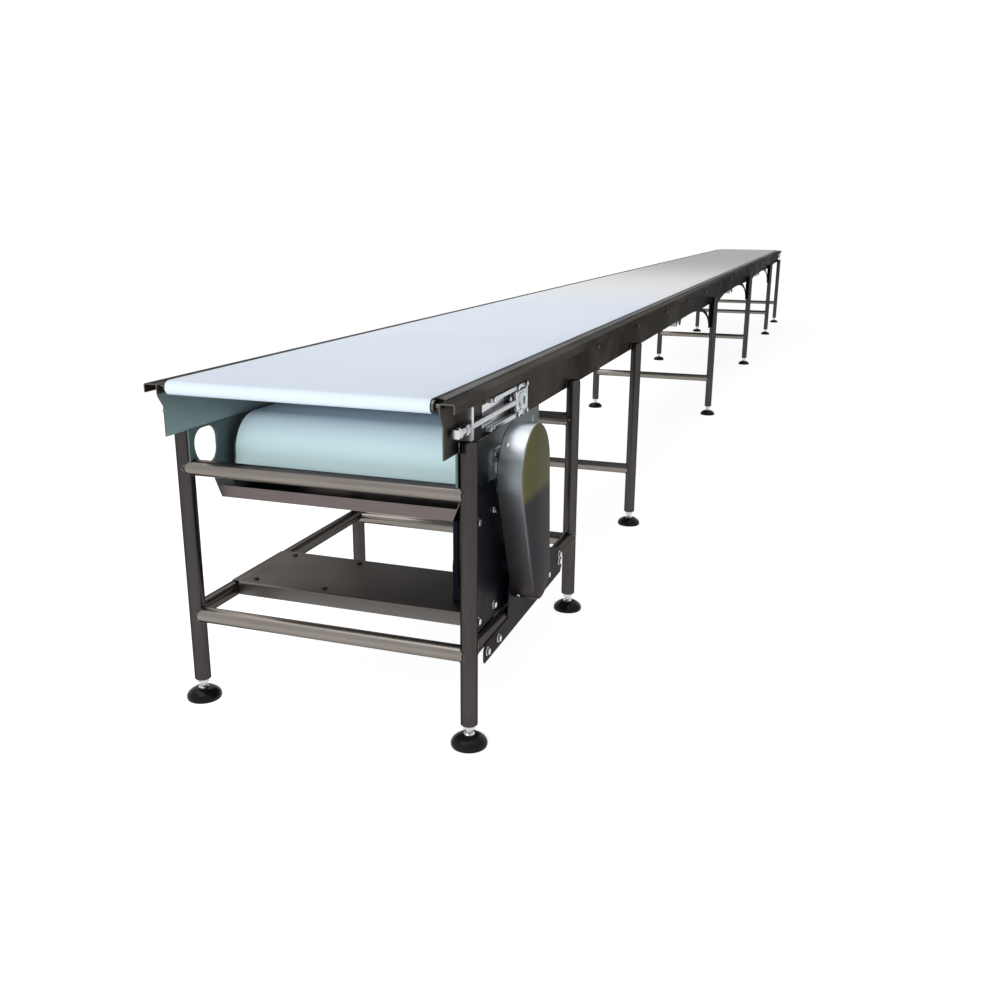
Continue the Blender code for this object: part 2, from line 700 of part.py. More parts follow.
def make_bearing_plates(shop):
    """The plates welded under the webs for the drum's and the snub roller's bearings."""
    top = WEB_BOTTOM - SEAT_GAP
    notch = circle(LEG_FRAMES_Y[0], UPPER_TUBE_Z, running_bore(CROSS_TUBE_RADIUS), FINE_SIDES)
    round_tube = notch[FINE_SIDES // 4::-1]
    behind_tube = round_tube[-1][0]
    outline = [
        (PLATE_FRONT_Y, top), (PLATE_FRONT_Y, round_tube[0][1]), *round_tube, (behind_tube, PLATE_FRONT_DROP),
        (PLATE_STEP_Y, PLATE_FRONT_DROP), (PLATE_STEP_Y, PLATE_BOTTOM), (PLATE_LOW_BACK_Y, PLATE_BOTTOM),
        (PLATE_BACK_Y, WEB_BOTTOM - PLATE_BACK_DROP), (PLATE_BACK_Y, top),
    ]
    hand_low = (HAND_HOLE_Y[0], WEB_BOTTOM - HAND_HOLE_DROP[0])
    hand_high = (HAND_HOLE_Y[1], WEB_BOTTOM - HAND_HOLE_DROP[1])
    holes = [
        rounded_box(hand_low, hand_high, HAND_HOLE_ROUND, front_radius=HAND_HOLE_FRONT_ROUND),
        circle(DRUM_Y, DRUM_Z, running_bore(DRUM_SHAFT_RADIUS)),
        circle(SNUB_Y, SNUB_Z, running_bore(IDLER_AXLE_RADIUS)),
    ]
    for side in (-1, 1):
        low, high = side_span(side, WEB_OUTER - BEARING_PLATE, WEB_OUTER)
        plate(shop, "bearing_plate_" + side_name(side), [outline, *holes], low, high, "stainless")


def flange_bearing(shop, name, side, y, z, shaft, size, flange, boss, depth):
    """A square flange housing with a round boss, bored for its shaft."""
    bore = circle(y, z, running_bore(shaft))
    half = size / 2
    square = rounded_box((y - half, z - half), (y + half, z + half), size / 6)
    low, high = side_span(side, OUTSIDE_WEB, OUTSIDE_WEB + flange)
    housing = plate(shop, name, [square, bore], low, high, "casting")
    low, high = side_span(side, OUTSIDE_WEB + flange / 2, OUTSIDE_WEB + depth)
    raised = plate(shop, name + "_boss", [circle(y, z, boss), bore], low, high, helper=True)
    combine(housing, raised, "UNION")


def make_bearings(shop):
    """Flange bearings of the drive drum and of the tail drum."""
    for side in (-1, 1):
        flange_bearing(
            shop, "drum_bearing_" + side_name(side), side, DRUM_Y, DRUM_Z, DRUM_SHAFT_RADIUS,
            HOUSING_SIZE, HOUSING_FLANGE, HOUSING_BOSS_RADIUS, HOUSING_DEPTH,
        )
        flange_bearing(
            shop, "tail_bearing_" + side_name(side), side, TAIL_Y, TAIL_Z, TAIL_SHAFT_RADIUS,
            TAIL_HOUSING_SIZE, HOUSING_FLANGE, TAIL_HOUSING_BOSS_RADIUS, TAIL_HOUSING_DEPTH,
        )


def make_takeups(shop):
    """The sliding bearing blocks of the tension roller, with the screw and bracket of each."""
    front = TENSION_Y - TAKEUP_BLOCK_LENGTH / 2
    screw_back = front + TAKEUP_SCREW_GRIP
    for side in (-1, 1):
        name = side_name(side)
        screw_x = side * (OUTSIDE_WEB + TAKEUP_SCREW_OUT)
        low, high = side_span(side, OUTSIDE_WEB, OUTSIDE_WEB + TAKEUP_BLOCK_DEPTH)
        half = TAKEUP_BLOCK_HEIGHT / 2
        sliding = block(
            shop, "takeup_block_" + name, (low, front, TENSION_Z - half),
            (high, front + TAKEUP_BLOCK_LENGTH, TENSION_Z + half), "casting", 0.003,
        )
        reach = OUTSIDE_WEB + TAKEUP_BLOCK_DEPTH + SEAT_GAP
        bore = rod(
            shop, f"takeup_bore_{name}", running_bore(IDLER_AXLE_RADIUS), (0, TENSION_Y, TENSION_Z), ALONG_X,
            -reach, reach, helper=True,
        )
        combine(sliding, bore, "DIFFERENCE")
        grip = screw_back + SEAT_GAP - BRACKET_FRONT
        screw_hole = rod(
            shop, f"takeup_screw_hole_{name}", running_bore(TAKEUP_SCREW_RADIUS, FINE_SIDES),
            (screw_x, BRACKET_FRONT, TENSION_Z), ALONG_Y, -BRACKET_THICKNESS, grip, sides=FINE_SIDES, helper=True,
        )
        combine(sliding, screw_hole, "DIFFERENCE")
        low, high = side_span(side, OUTSIDE_WEB, OUTSIDE_WEB + BRACKET_DEPTH)
        bracket = block(
            shop, "takeup_bracket_" + name, (low, BRACKET_FRONT, LEG_TOP + SEAT_GAP),
            (high, BRACKET_FRONT + BRACKET_THICKNESS, BRACKET_TOP), "casting", 0.0015,
        )
        combine(bracket, screw_hole, "DIFFERENCE")
        make_takeup_screw(shop, "takeup_screw_" + name, screw_x, screw_back)


def make_takeup_screw(shop, name, x, back):
    """A headed screw along Y, its head to the front."""
    length = back - TAKEUP_SCREW_FRONT
    neck = TAKEUP_HEAD_LENGTH
    profile = [
        (0, length), (TAKEUP_SCREW_RADIUS, length), (TAKEUP_SCREW_RADIUS, neck),
        (TAKEUP_HEAD_RADIUS, neck), (TAKEUP_HEAD_RADIUS, 0), (0, 0),
    ]
    turned(shop, name, profile, (x, TAKEUP_SCREW_FRONT, TENSION_Z), ALONG_Y, "zinc", SHAFT_SIDES)


def leg_tube(shop, name, x):
    """One leg as a helper: a capped tube with a drilled plug in its foot."""
    bore = running_bore(SPINDLE_RADIUS, FOOT_SIDES)
    inner = TUBE_RADIUS - TUBE_WALL
    profile = [
        (0, LEG_TOP), (TUBE_RADIUS, LEG_TOP), (TUBE_RADIUS, LEG_BOTTOM), (bore, LEG_BOTTOM),
        (bore, LEG_BOTTOM + LEG_PLUG), (inner, LEG_BOTTOM + LEG_PLUG), (inner, LEG_TOP - TUBE_WALL),
        (0, LEG_TOP - TUBE_WALL),
    ]
    return turned(shop, name, profile, (x, 0, 0), ALONG_Z, None, TUBE_SIDES, helper=True)


def cross_tube(shop, name, z):
    """A cross tube as a helper, its open ends inside the legs."""
    inner = CROSS_TUBE_RADIUS - TUBE_WALL
    profile = [(CROSS_TUBE_RADIUS, LEG_X), (CROSS_TUBE_RADIUS, -LEG_X), (inner, -LEG_X), (inner, LEG_X)]
    return turned(shop, name, profile, (0, 0, z), ALONG_X, None, TUBE_SIDES, True, True)


def drill_vent(shop, frame, name, z):
    """Open a cross tube's inside to the legs, as a weldment is vented."""
    vent = rod(shop, name, VENT_RADIUS, (0, 0, z), ALONG_X, -LEG_X, LEG_X, sides=VENT_SIDES, helper=True)
    combine(frame, vent, "DIFFERENCE")


def make_leg_frames(shop):
    """Seven welded leg frames; the first two have an upper cross tube as well."""
    patterns = {}
    for tall in (False, True):
        label = "tall" if tall else "plain"
        left = leg_tube(shop, f"{label}_leg_left", -LEG_X)
        combine(left, leg_tube(shop, f"{label}_leg_right", LEG_X), "UNION")
        combine(left, cross_tube(shop, f"{label}_lower_tube", LOWER_TUBE_Z), "UNION")
        drill_vent(shop, left, f"{label}_lower_vent", LOWER_TUBE_Z)
        if tall:
            combine(left, cross_tube(shop, f"{label}_upper_tube", UPPER_TUBE_Z), "UNION")
            drill_vent(shop, left, f"{label}_upper_vent", UPPER_TUBE_Z)
        patterns[tall] = evaluated_mesh(left, f"leg_frame_{label}")
    for number, y in enumerate(LEG_FRAMES_Y, 1):
        frame = bpy.data.objects.new(f"leg_frame_{number}", patterns[number in TALL_FRAMES])
        shop.place(frame, "tube")
        frame.location = (-LEG_X, y, 0)


def make_braces(shop):
    """The two long tubes that tie the first leg frame to the second."""
    front = LEG_FRAMES_Y[0] + TUBE_RADIUS + SEAT_GAP
    back = LEG_FRAMES_Y[1] - TUBE_RADIUS - SEAT_GAP
    inner = TUBE_RADIUS - TUBE_WALL
    for side in (-1, 1):
        profile = [(TUBE_RADIUS, back), (TUBE_RADIUS, front), (inner, front), (inner, back)]
        where = (side * LEG_X, 0, BRACE_Z)
        turned(shop, "brace_" + side_name(side), profile, where, ALONG_Y, "tube", TUBE_SIDES, ring=True)


def make_feet(shop):
    """A screwed levelling foot in each leg: spindle, lock nut and round pad."""
    nut_top = LEG_BOTTOM - SEAT_GAP
    nut_low = nut_top - FOOT_NUT_HEIGHT
    profile = [
        (0, SPINDLE_TOP), (SPINDLE_RADIUS, SPINDLE_TOP), (SPINDLE_RADIUS, nut_top), (FOOT_NUT_RADIUS, nut_top),
        (FOOT_NUT_RADIUS, nut_low), (SPINDLE_RADIUS, nut_low), (SPINDLE_RADIUS, PAD_CROWN + PAD_COLLAR),
        (PAD_NECK_RADIUS, PAD_CROWN), (PAD_RADIUS, PAD_EDGE), (PAD_RADIUS, 0), (0, 0),
    ]
    for number, y in enumerate(LEG_FRAMES_Y, 1):
        for side in (-1, 1):
            name = f"foot_{number}_{side_name(side)}"
            turned(shop, name, profile, (side * LEG_X, y, 0), ALONG_Z, "foot", FOOT_SIDES)


def sprocket_outline(y, z, teeth):
    """Teeth as trapezoids round the pitch circle."""
    points = []
    tip = pitch_radius(teeth) + TOOTH_HEIGHT
    root = pitch_radius(teeth) - TOOTH_DEPTH
    for tooth in range(teeth):
        for part, radius in ((-0.32, root), (-0.12, tip), (0.12, tip), (0.32, root)):
            angle = 2 * pi * (tooth + part) / teeth
            points.append((y + radius * cos(angle), z + radius * sin(angle)))
    return points


def make_sprocket(shop, name, y, z, teeth, shaft):
    """A sprocket with a hub towards the conveyor."""
    bore = circle(y, z, running_bore(shaft))
    outline = sprocket_outline(y, z, teeth)
    wheel = plate(shop, name, [outline, bore], SPROCKET_X, SPROCKET_X + SPROCKET_WIDTH, "chain")
    hub_outline = circle(y, z, shaft + SPROCKET_HUB_WALL)
    hub_low = SPROCKET_X + SPROCKET_WIDTH - SPROCKET_HUB_DEPTH
    hub_high = SPROCKET_X + SPROCKET_WIDTH / 2
    hub = plate(shop, name + "_hub", [hub_outline, bore], hub_low, hub_high, helper=True)
    combine(wheel, hub, "UNION")


def drive_wheels(drum_radius, motor_radius):
    """The two wheels that the chain and the guard go round."""
    return ((DRUM_Y, DRUM_Z, drum_radius, 1), (MOTOR_Y, MOTOR_Z, motor_radius, 1))


def make_chain_drive(shop):
    """Both sprockets, the chain as a band just clear of their teeth, and the gearbox's output shaft."""
    make_sprocket(shop, "drum_sprocket", DRUM_Y, DRUM_Z, DRUM_TEETH, DRUM_SHAFT_RADIUS)
    make_sprocket(shop, "motor_sprocket", MOTOR_Y, MOTOR_Z, MOTOR_TEETH, OUTPUT_SHAFT_RADIUS)
    chord = 1 / cos(ARC_STEP / 2)
    drum_inner = (pitch_radius(DRUM_TEETH) + TOOTH_HEIGHT + RUNNING_GAP) * chord
    motor_inner = (pitch_radius(MOTOR_TEETH) + TOOTH_HEIGHT + RUNNING_GAP) * chord
    inside = wrapped_loop(drive_wheels(drum_inner, motor_inner))
    outside = wrapped_loop(drive_wheels(drum_inner + CHAIN_HEIGHT, motor_inner + CHAIN_HEIGHT))
    middle = SPROCKET_X + SPROCKET_WIDTH / 2
    plate(shop, "drive_chain", [outside, inside], middle - CHAIN_WIDTH / 2, middle + CHAIN_WIDTH / 2, "chain")
    end = GUARD_OUTER_X - GUARD_SHEET - GUARD_INSIDE_END
    start = MOTOR_PLATE_INNER - OUTPUT_SHAFT_GRIP
    where = (0, MOTOR_Y, MOTOR_Z)
    rod(shop, "output_shaft", OUTPUT_SHAFT_RADIUS, where, ALONG_X, start, end, "roller")


def backplate_outline():
    """The guard's shape with a skirt at its foot that runs back along the brace."""
    loop = wrapped_loop(drive_wheels(GUARD_DRUM_RADIUS, GUARD_MOTOR_RADIUS))
    shoulder = MOTOR_Y + GUARD_MOTOR_RADIUS
    front_at = MOTOR_Y - GUARD_MOTOR_RADIUS
    upper = [point for point in loop if point[1] > MOTOR_Z + GUARD_MOTOR_RADIUS / 2]
    upper.sort(key=lambda point: atan2(point[1] - MOTOR_Z, point[0] - (front_at + shoulder) / 2))
    skirt = [
        (front_at, MOTOR_Z), (SKIRT_KNEE_Y, SKIRT_FRONT_TOP), (SKIRT_FRONT_Y, SKIRT_FRONT_TOP),
        (SKIRT_FRONT_Y, SKIRT_BOTTOM), (SKIRT_BACK_Y, SKIRT_BOTTOM), (SKIRT_BACK_Y, SKIRT_BACK_TOP),
        (shoulder, MOTOR_Z + GUARD_MOTOR_RADIUS / 2),
    ]
    return upper + skirt


def make_guard(shop):
    """The chain guard: a flat back plate fixed outside the legs, and a deep cover over it."""
    holes = [circle(DRUM_Y, DRUM_Z, SHAFT_WINDOW_RADIUS), circle(MOTOR_Y, MOTOR_Z, SHAFT_WINDOW_RADIUS)]
    outer_face = BACKPLATE_INNER + BACKPLATE
    plate(shop, "guard_backplate", [backplate_outline(), *holes], BACKPLATE_INNER, outer_face, "guard")
    outside = wrapped_loop(drive_wheels(GUARD_DRUM_RADIUS, GUARD_MOTOR_RADIUS))
    cover = plate(shop, "guard_cover", [outside], GUARD_INNER, GUARD_OUTER_X, "guard")
    inside = wrapped_loop(drive_wheels(GUARD_DRUM_RADIUS - GUARD_SHEET, GUARD_MOTOR_RADIUS - GUARD_SHEET))
    room = plate(shop, "guard_room", [inside], BACKPLATE_INNER, GUARD_OUTER_X - GUARD_SHEET, helper=True)
    combine(cover, room, "DIFFERENCE")


def make_shelf(shop):
    """The folded shelf on the two braces that the gear motor stands on."""
    low, high = SHELF_UNDER - SHELF_LIP, SHELF_TOP
    front, back = SHELF_FRONT_Y, SHELF_BACK_Y
    outline = [
        (front, low), (front + SHELF_SHEET, low), (front + SHELF_SHEET, SHELF_UNDER),
        (back - SHELF_SHEET, SHELF_UNDER), (back - SHELF_SHEET, low), (back, low), (back, high), (front, high),
    ]
    half = LEG_X - TUBE_RADIUS - SEAT_GAP
    shelf = plate(shop, "motor_shelf", [outline], -half, half, "stainless")
    top = [(front, SHELF_UNDER), (back, SHELF_UNDER), (back, high), (front, high)]
    reach = LEG_X + SHELF_OVERHANG
    combine(shelf, plate(shop, "shelf_top", [top], -reach, reach, helper=True), "UNION")


def make_motor(shop):
    """The worm gearbox on its plate, with the motor behind it along the conveyor."""
    seat = SHELF_TOP + SEAT_GAP
    front = LEG_FRAMES_Y[0] + TUBE_RADIUS + SEAT_GAP
    under_housing = DRUM_Z - HOUSING_SIZE / 2 - HOUSING_CLEARANCE
    tall_top = WEB_BOTTOM - MOTOR_PLATE_DROP
    outline = [
        (front, seat), (MOTOR_PLATE_BACK_Y, seat), (MOTOR_PLATE_BACK_Y, under_housing),
        (MOTOR_PLATE_TALL_Y, under_housing), (MOTOR_PLATE_TALL_Y, tall_top), (front, tall_top),
    ]
    window = circle(MOTOR_Y, MOTOR_Z, SHAFT_WINDOW_RADIUS)
    outer = MOTOR_PLATE_INNER + MOTOR_PLATE
    plate(shop, "motor_plate", [outline, window], MOTOR_PLATE_INNER, outer, "dark_paint")
    box_outer = MOTOR_PLATE_INNER - SEAT_GAP
    box_back = MOTOR_Y + GEARBOX_LENGTH / 2
    gearbox = block(
        shop, "gearbox", (box_outer - GEARBOX_WIDTH, MOTOR_Y - GEARBOX_LENGTH / 2, seat),
        (box_outer, box_back, GEARBOX_TOP), "dark_paint", 0.012,
    )
    bore_low = MOTOR_PLATE_INNER - OUTPUT_SHAFT_GRIP - SEAT_GAP
    bore = rod(
        shop, "gearbox_bore", running_bore(OUTPUT_SHAFT_RADIUS), (0, MOTOR_Y, MOTOR_Z), ALONG_X,
        bore_low, outer, helper=True,
    )
    combine(gearbox, bore, "DIFFERENCE")
    motor_x = box_outer - MOTOR_SIDE - MOTOR_RADIUS
    motor_z = seat + MOTOR_RADIUS + MOTOR_ABOVE_SHELF
    where = (motor_x, box_back + SEAT_GAP, motor_z)
    rod(shop, "motor", MOTOR_RADIUS, where, ALONG_Y, 0, MOTOR_BODY_LENGTH, "dark_paint", TAIL_SIDES)
    make_cowl(shop, (motor_x, where[1] + MOTOR_BODY_LENGTH + SEAT_GAP, motor_z))
    wide, long, tall = TERMINAL_BOX_SIZE
    low_z = motor_z + MOTOR_RADIUS + SEAT_GAP
    box_front = where[1] + TERMINAL_BOX_BACK
    block(
        shop, "terminal_box", (motor_x - wide / 2, box_front, low_z),
        (motor_x + wide / 2, box_front + long, low_z + tall), "dark_paint", 0.004,
    )


def make_cowl(shop, where):
    """The fan cowl: a cup over the motor's back end with an air inlet in its face."""
    inner = MOTOR_RADIUS - COWL_WALL
    inlet = MOTOR_RADIUS / 2
    end = COWL_LENGTH
    profile = [
        (inlet, end), (inner, end), (MOTOR_RADIUS, end - COWL_WALL), (MOTOR_RADIUS, 0), (inner, 0),
        (inner, end - 2 * COWL_WALL), (inlet, end - 2 * COWL_WALL),
    ]
    turned(shop, "fan_cowl", profile, where, ALONG_Y, "dark_paint", TAIL_SIDES, ring=True)


def make_drip_pan(shop):
    """The folded pan under the drum: an upright front lip, leaning ends, and a floor let in between the plates."""
    front_low = PAN_UNDER + PAN_FRONT_RISE
    outline = [
        (PAN_FRONT_Y, front_low), (PAN_SLOPE_BACK_Y, PAN_UNDER),
        (PAN_BACK_Y, PAN_UNDER), (PAN_BACK_Y, PAN_UNDER + PAN_BACK_LIP),
        (PAN_BACK_Y - PAN_SHEET, PAN_UNDER + PAN_BACK_LIP), (PAN_BACK_Y - PAN_SHEET, PAN_FLOOR),
        (PAN_SLOPE_BACK_Y, PAN_FLOOR), (PAN_FRONT_Y, front_low + PAN_SHEET),
    ]
    half = BELT_HALF - PAN_INSET
    pan = plate(shop, "drip_pan", [outline], -half, half, "stainless")
    top = half + PAN_LIP_HEIGHT * PAN_END_LEAN
    lip_top = front_low + PAN_LIP_HEIGHT
    lip = [(-half, front_low), (half, front_low), (top, lip_top), (-top, lip_top)]
    front_lip = rail(shop, "pan_lip", lip, PAN_FRONT_Y, PAN_FRONT_Y + PAN_SHEET, helper=True)
    combine(pan, front_lip, "UNION", "MANIFOLD")
    ear_back = PAN_BACK_Y - PAN_SHEET * 2
    ear = [
        (PAN_EAR_FRONT_Y, PAN_UNDER), (ear_back, PAN_UNDER), (ear_back, PAN_FLOOR), (PAN_EAR_FRONT_Y, PAN_FLOOR),
    ]
    reach = WEB_OUTER - BEARING_PLATE - SEAT_GAP
    combine(pan, plate(shop, "pan_ears", [ear], -reach, reach, helper=True), "UNION", "MANIFOLD")
    slope = PAN_FRONT_RISE / (PAN_SLOPE_BACK_Y - PAN_FRONT_Y)
    ahead, behind = PAN_FRONT_Y - PAN_INSET, PAN_SLOPE_BACK_Y + PAN_INSET
    wedge = [
        (ahead, front_low + PAN_INSET * slope), (behind, PAN_UNDER - PAN_INSET * slope), (behind, 0), (ahead, 0),
    ]
    room = plate(shop, "pan_room_below", [wedge], -reach, reach, helper=True)
    for side in (-1, 1):
        combine(pan, pan_end(shop, side, half, room), "UNION", "MANIFOLD")


def pan_end(shop, side, half, room):
    """One leaning end of the pan as a helper, cut off along the sloping floor."""
    foot = half - PAN_FRONT_RISE * PAN_END_LEAN - PAN_SHEET
    end_top = PLATE_FRONT_DROP - PAN_END_BELOW_PLATE
    lean = (end_top - PAN_UNDER) * PAN_END_LEAN
    inner = [(foot, PAN_UNDER), (foot + lean, end_top)]
    outer = [(foot + PAN_SHEET + lean, end_top), (foot + PAN_SHEET, PAN_UNDER)]
    outline = [(side * x, z) for x, z in [*inner, *outer]]
    back = PAN_SLOPE_BACK_Y
    end = rail(shop, "pan_end_" + side_name(side), outline, PAN_FRONT_Y, back, helper=True)
    return combine(end, room, "DIFFERENCE")


def shade_round_parts(shop):
    """Smooth shading with sharp edges kept, on every mesh."""
    for obj in shop.parts.objects:
        if obj.type != "MESH":
            continue
        obj.data.shade_smooth()
        obj.data.set_sharp_from_angle(angle=radians(35))


def main():
    clear_scene()
    shop = Shop()
    make_side_frames(shop)
    make_slider_bed(shop)
    make_belt(shop)
    make_rollers(shop)
    make_bearing_plates(shop)
    make_bearings(shop)
    make_takeups(shop)
    make_leg_frames(shop)
    make_braces(shop)
    make_feet(shop)
    make_chain_drive(shop)
    make_guard(shop)
    make_shelf(shop)
    make_motor(shop)
    make_drip_pan(shop)
    shade_round_parts(shop)


main()
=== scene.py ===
"""Belt conveyor with a drum drive, a chain guard and tube legs, dressed for rendering.

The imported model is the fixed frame. Only its drip pan is shown as it is. Every other piece is made
again here in its place, with its bends, welds, threads and fixings. Metres, +Z up. Sizes are held
from the belt's centre line, the tip of the nose and the floor; Layout turns them into row
positions. A bare number inside a profile is one of that shape's own small radii or steps.
"""

import logging
from collections.abc import Callable
from dataclasses import dataclass
from enum import Enum
from itertools import product
from math import acos, asin, atan2, ceil, cos, pi, radians, sin, sqrt, tau

import bmesh
import bpy
from mathutils import Matrix, Vector


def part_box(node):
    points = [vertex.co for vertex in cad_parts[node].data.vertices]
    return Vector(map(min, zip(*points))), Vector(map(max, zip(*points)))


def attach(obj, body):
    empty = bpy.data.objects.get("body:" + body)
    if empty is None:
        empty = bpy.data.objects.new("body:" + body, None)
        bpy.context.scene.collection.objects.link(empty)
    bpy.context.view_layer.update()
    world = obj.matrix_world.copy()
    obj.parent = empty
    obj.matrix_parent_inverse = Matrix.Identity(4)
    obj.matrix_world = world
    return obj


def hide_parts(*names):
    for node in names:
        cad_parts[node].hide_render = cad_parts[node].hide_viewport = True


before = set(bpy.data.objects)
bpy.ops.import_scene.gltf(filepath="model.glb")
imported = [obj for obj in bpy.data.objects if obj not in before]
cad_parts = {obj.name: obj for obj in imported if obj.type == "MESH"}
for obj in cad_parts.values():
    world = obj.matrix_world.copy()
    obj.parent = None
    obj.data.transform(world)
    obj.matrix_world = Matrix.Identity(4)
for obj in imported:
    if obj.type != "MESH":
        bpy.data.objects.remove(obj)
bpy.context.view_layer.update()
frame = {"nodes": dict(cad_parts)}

LOG = logging.getLogger("conveyor")

Node = bpy.types.Node
Socket = bpy.types.NodeSocket
Material = bpy.types.Material
Object = bpy.types.Object
Mesh = bpy.types.Mesh
GeometryTree = bpy.types.GeometryNodeTree
ShaderTree = bpy.types.ShaderNodeTree
Outline = list[tuple[float, float]]
Triple = tuple[float, float, float]
Colour = Triple
Place = Triple | Vector

X_AXIS = Vector((1, 0, 0))
Y_AXIS = Vector((0, 1, 0))
Z_AXIS = Vector((0, 0, 1))
SHARP_ANGLE = radians(32)
ROUND_SEGMENTS = 56
SHAFT_SEGMENTS = 40
SMALL_SEGMENTS = 24
WELD_POINTS = 72
LOOP_STEP = radians(3)
HALF_FACET = radians(4.5)
RUN_GAP = 0.0003
BELT_SHEET = 0.003
WEB_FACE = 0.3218
DIAGONAL = 0.7071
BOTH_WAYS = (-1, 1)
CORNERS = tuple(product(BOTH_WAYS, repeat=2))


class Side(Enum):
    """The two sides of the conveyor, seen from its driven end."""

    LEFT = -1
    RIGHT = 1

    @property
    def word(self) -> str:
        """The name's ending."""
        return self.name.lower()


class Plane(Enum):
    """The plane that a flat outline is drawn in, with the axes its two values run along."""

    YZ = "across X"
    XZ = "across Y"
    XY = "across Z"

    def matrix(self, middle: float) -> Matrix:
        """Stand a drawing made in local X and Y up in its plane.

        Args:
            middle: Where the plane lies along its own axis.

        Returns:
            The matrix from the drawing to the row frame.
        """
        if self is Plane.YZ:
            return Matrix(((0, 0, 1, middle), (1, 0, 0, 0), (0, 1, 0, 0), (0, 0, 0, 1)))
        if self is Plane.XZ:
            return Matrix(((1, 0, 0, 0), (0, 0, -1, middle), (0, 1, 0, 0), (0, 0, 0, 1)))
        return Matrix.Translation((0, 0, middle))


@dataclass(frozen=True)
class Layout:
    """Where the conveyor stands in the row frame: its belt's centre line and its nose tip."""

    centre_x: float
    nose_y: float

    @classmethod
    def from_frame(cls) -> "Layout":
        """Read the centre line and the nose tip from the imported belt."""
        low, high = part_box("belt")
        return cls((low[0] + high[0]) / 2, low[1])

    def at(self, x: float, y: float, z: float) -> Vector:
        """A point from the centre line, the nose tip and the floor, in the row frame."""
        return Vector((self.centre_x + x, self.nose_y + y, z))

    def x(self, side: Side, distance: float) -> float:
        """The row X of a distance out from the centre line on one side."""
        return self.centre_x + side.value * distance

    def span(self, side: Side, near: float, far: float) -> tuple[float, float]:
        """The row X of two distances out on one side, the lower one first."""
        first, second = self.x(side, near), self.x(side, far)
        return min(first, second), max(first, second)

    def outline_yz(self, outline: Outline) -> Outline:
        """Move a side outline from the nose tip into the row frame."""
        return [(self.nose_y + y, z) for y, z in outline]

    def outline_xz(self, outline: Outline, side: Side = Side.RIGHT) -> Outline:
        """Move a section from the centre line into the row frame, mirrored for the left side."""
        return [(self.x(side, x), z) for x, z in outline]


LAYOUT = Layout.from_frame()


def middle_of(node: str) -> Vector:
    """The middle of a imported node's box at rest."""
    low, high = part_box(node)
    return (Vector(low) + Vector(high)) / 2


# ---- Outlines and paths --------------------------------------------------------------


@dataclass(frozen=True)
class Wheel:
    """A circle that a loop goes round; turn is 1 counter-clockwise and -1 clockwise."""

    y: float
    z: float
    radius: float
    turn: int = 1

    def heading_to(self, other: "Wheel") -> float:
        """The heading of the straight run that leaves this wheel and meets the next."""
        dy, dz = other.y - self.y, other.z - self.z
        reach = other.radius * other.turn - self.radius * self.turn
        return atan2(dz, dy) - asin(reach / sqrt(dy * dy + dz * dz))


def wrap(wheels: list[Wheel], step: float = radians(4)) -> list[tuple[float, float, float]]:
    """Follow a closed loop round wheels.

    Args:
        wheels: The wheels in the order that the loop meets them.
        step: The largest turn between two points.

    Returns:
        The (y, z, heading) of each point.
    """
    headings = [wheel.heading_to(wheels[(i + 1) % len(wheels)]) for i, wheel in enumerate(wheels)]
    points = []
    for i, wheel in enumerate(wheels):
        start = headings[i - 1]
        turned = ((headings[i] - start) * wheel.turn) % tau
        count = max(1, ceil(turned / step))
        for k in range(count + 1):
            heading = start + wheel.turn * turned * k / count
            side = -wheel.turn * wheel.radius
            points.append((wheel.y - side * sin(heading), wheel.z + side * cos(heading), heading))
    return points


def shifted(points: list[tuple[float, float, float]], out: float) -> Outline:
    """Move a loop's points outwards by a distance."""
    return [(y + out * sin(h), z - out * cos(h)) for y, z, h in points]


def circle(across: float, up: float, radius: float, count: int = 32) -> Outline:
    """Points round a circle."""
    return [
        (across + radius * cos(tau * i / count), up + radius * sin(tau * i / count))
        for i in range(count)
    ]


def rod(radius: float, low: float, high: float, chamfer: float = 0.0) -> Outline:
    """The profile of a solid rod from one end to the other, with or without chamfers."""
    if not chamfer:
        return [(0, low), (radius, low), (radius, high), (0, high)]
    near, far, rim = low + chamfer, high - chamfer, radius - chamfer
    return [(0, low), (rim, low), (radius, near), (radius, far), (rim, high), (0, high)]


def rounded_box(
    low: tuple[float, float], high: tuple[float, float], radii: tuple[float, ...]
) -> Outline:
    """A rectangle with round corners.

    Args:
        low: Its lower front corner.
        high: Its upper back corner.
        radii: The corners' radii: upper back, upper front, lower front, lower back.

    Returns:
        Its points, counter-clockwise.
    """
    signs = ((1, 1), (-1, 1), (-1, -1), (1, -1))
    points = []
    for quarter, ((across, up), radius) in enumerate(zip(signs, radii)):
        centre = (
            high[0] - radius if across > 0 else low[0] + radius,
            high[1] - radius if up > 0 else low[1] + radius
        )
        for i in range(9):
            angle = pi / 2 * (quarter + i / 8)
            points.append((centre[0] + radius * cos(angle), centre[1] + radius * sin(angle)))
    return points


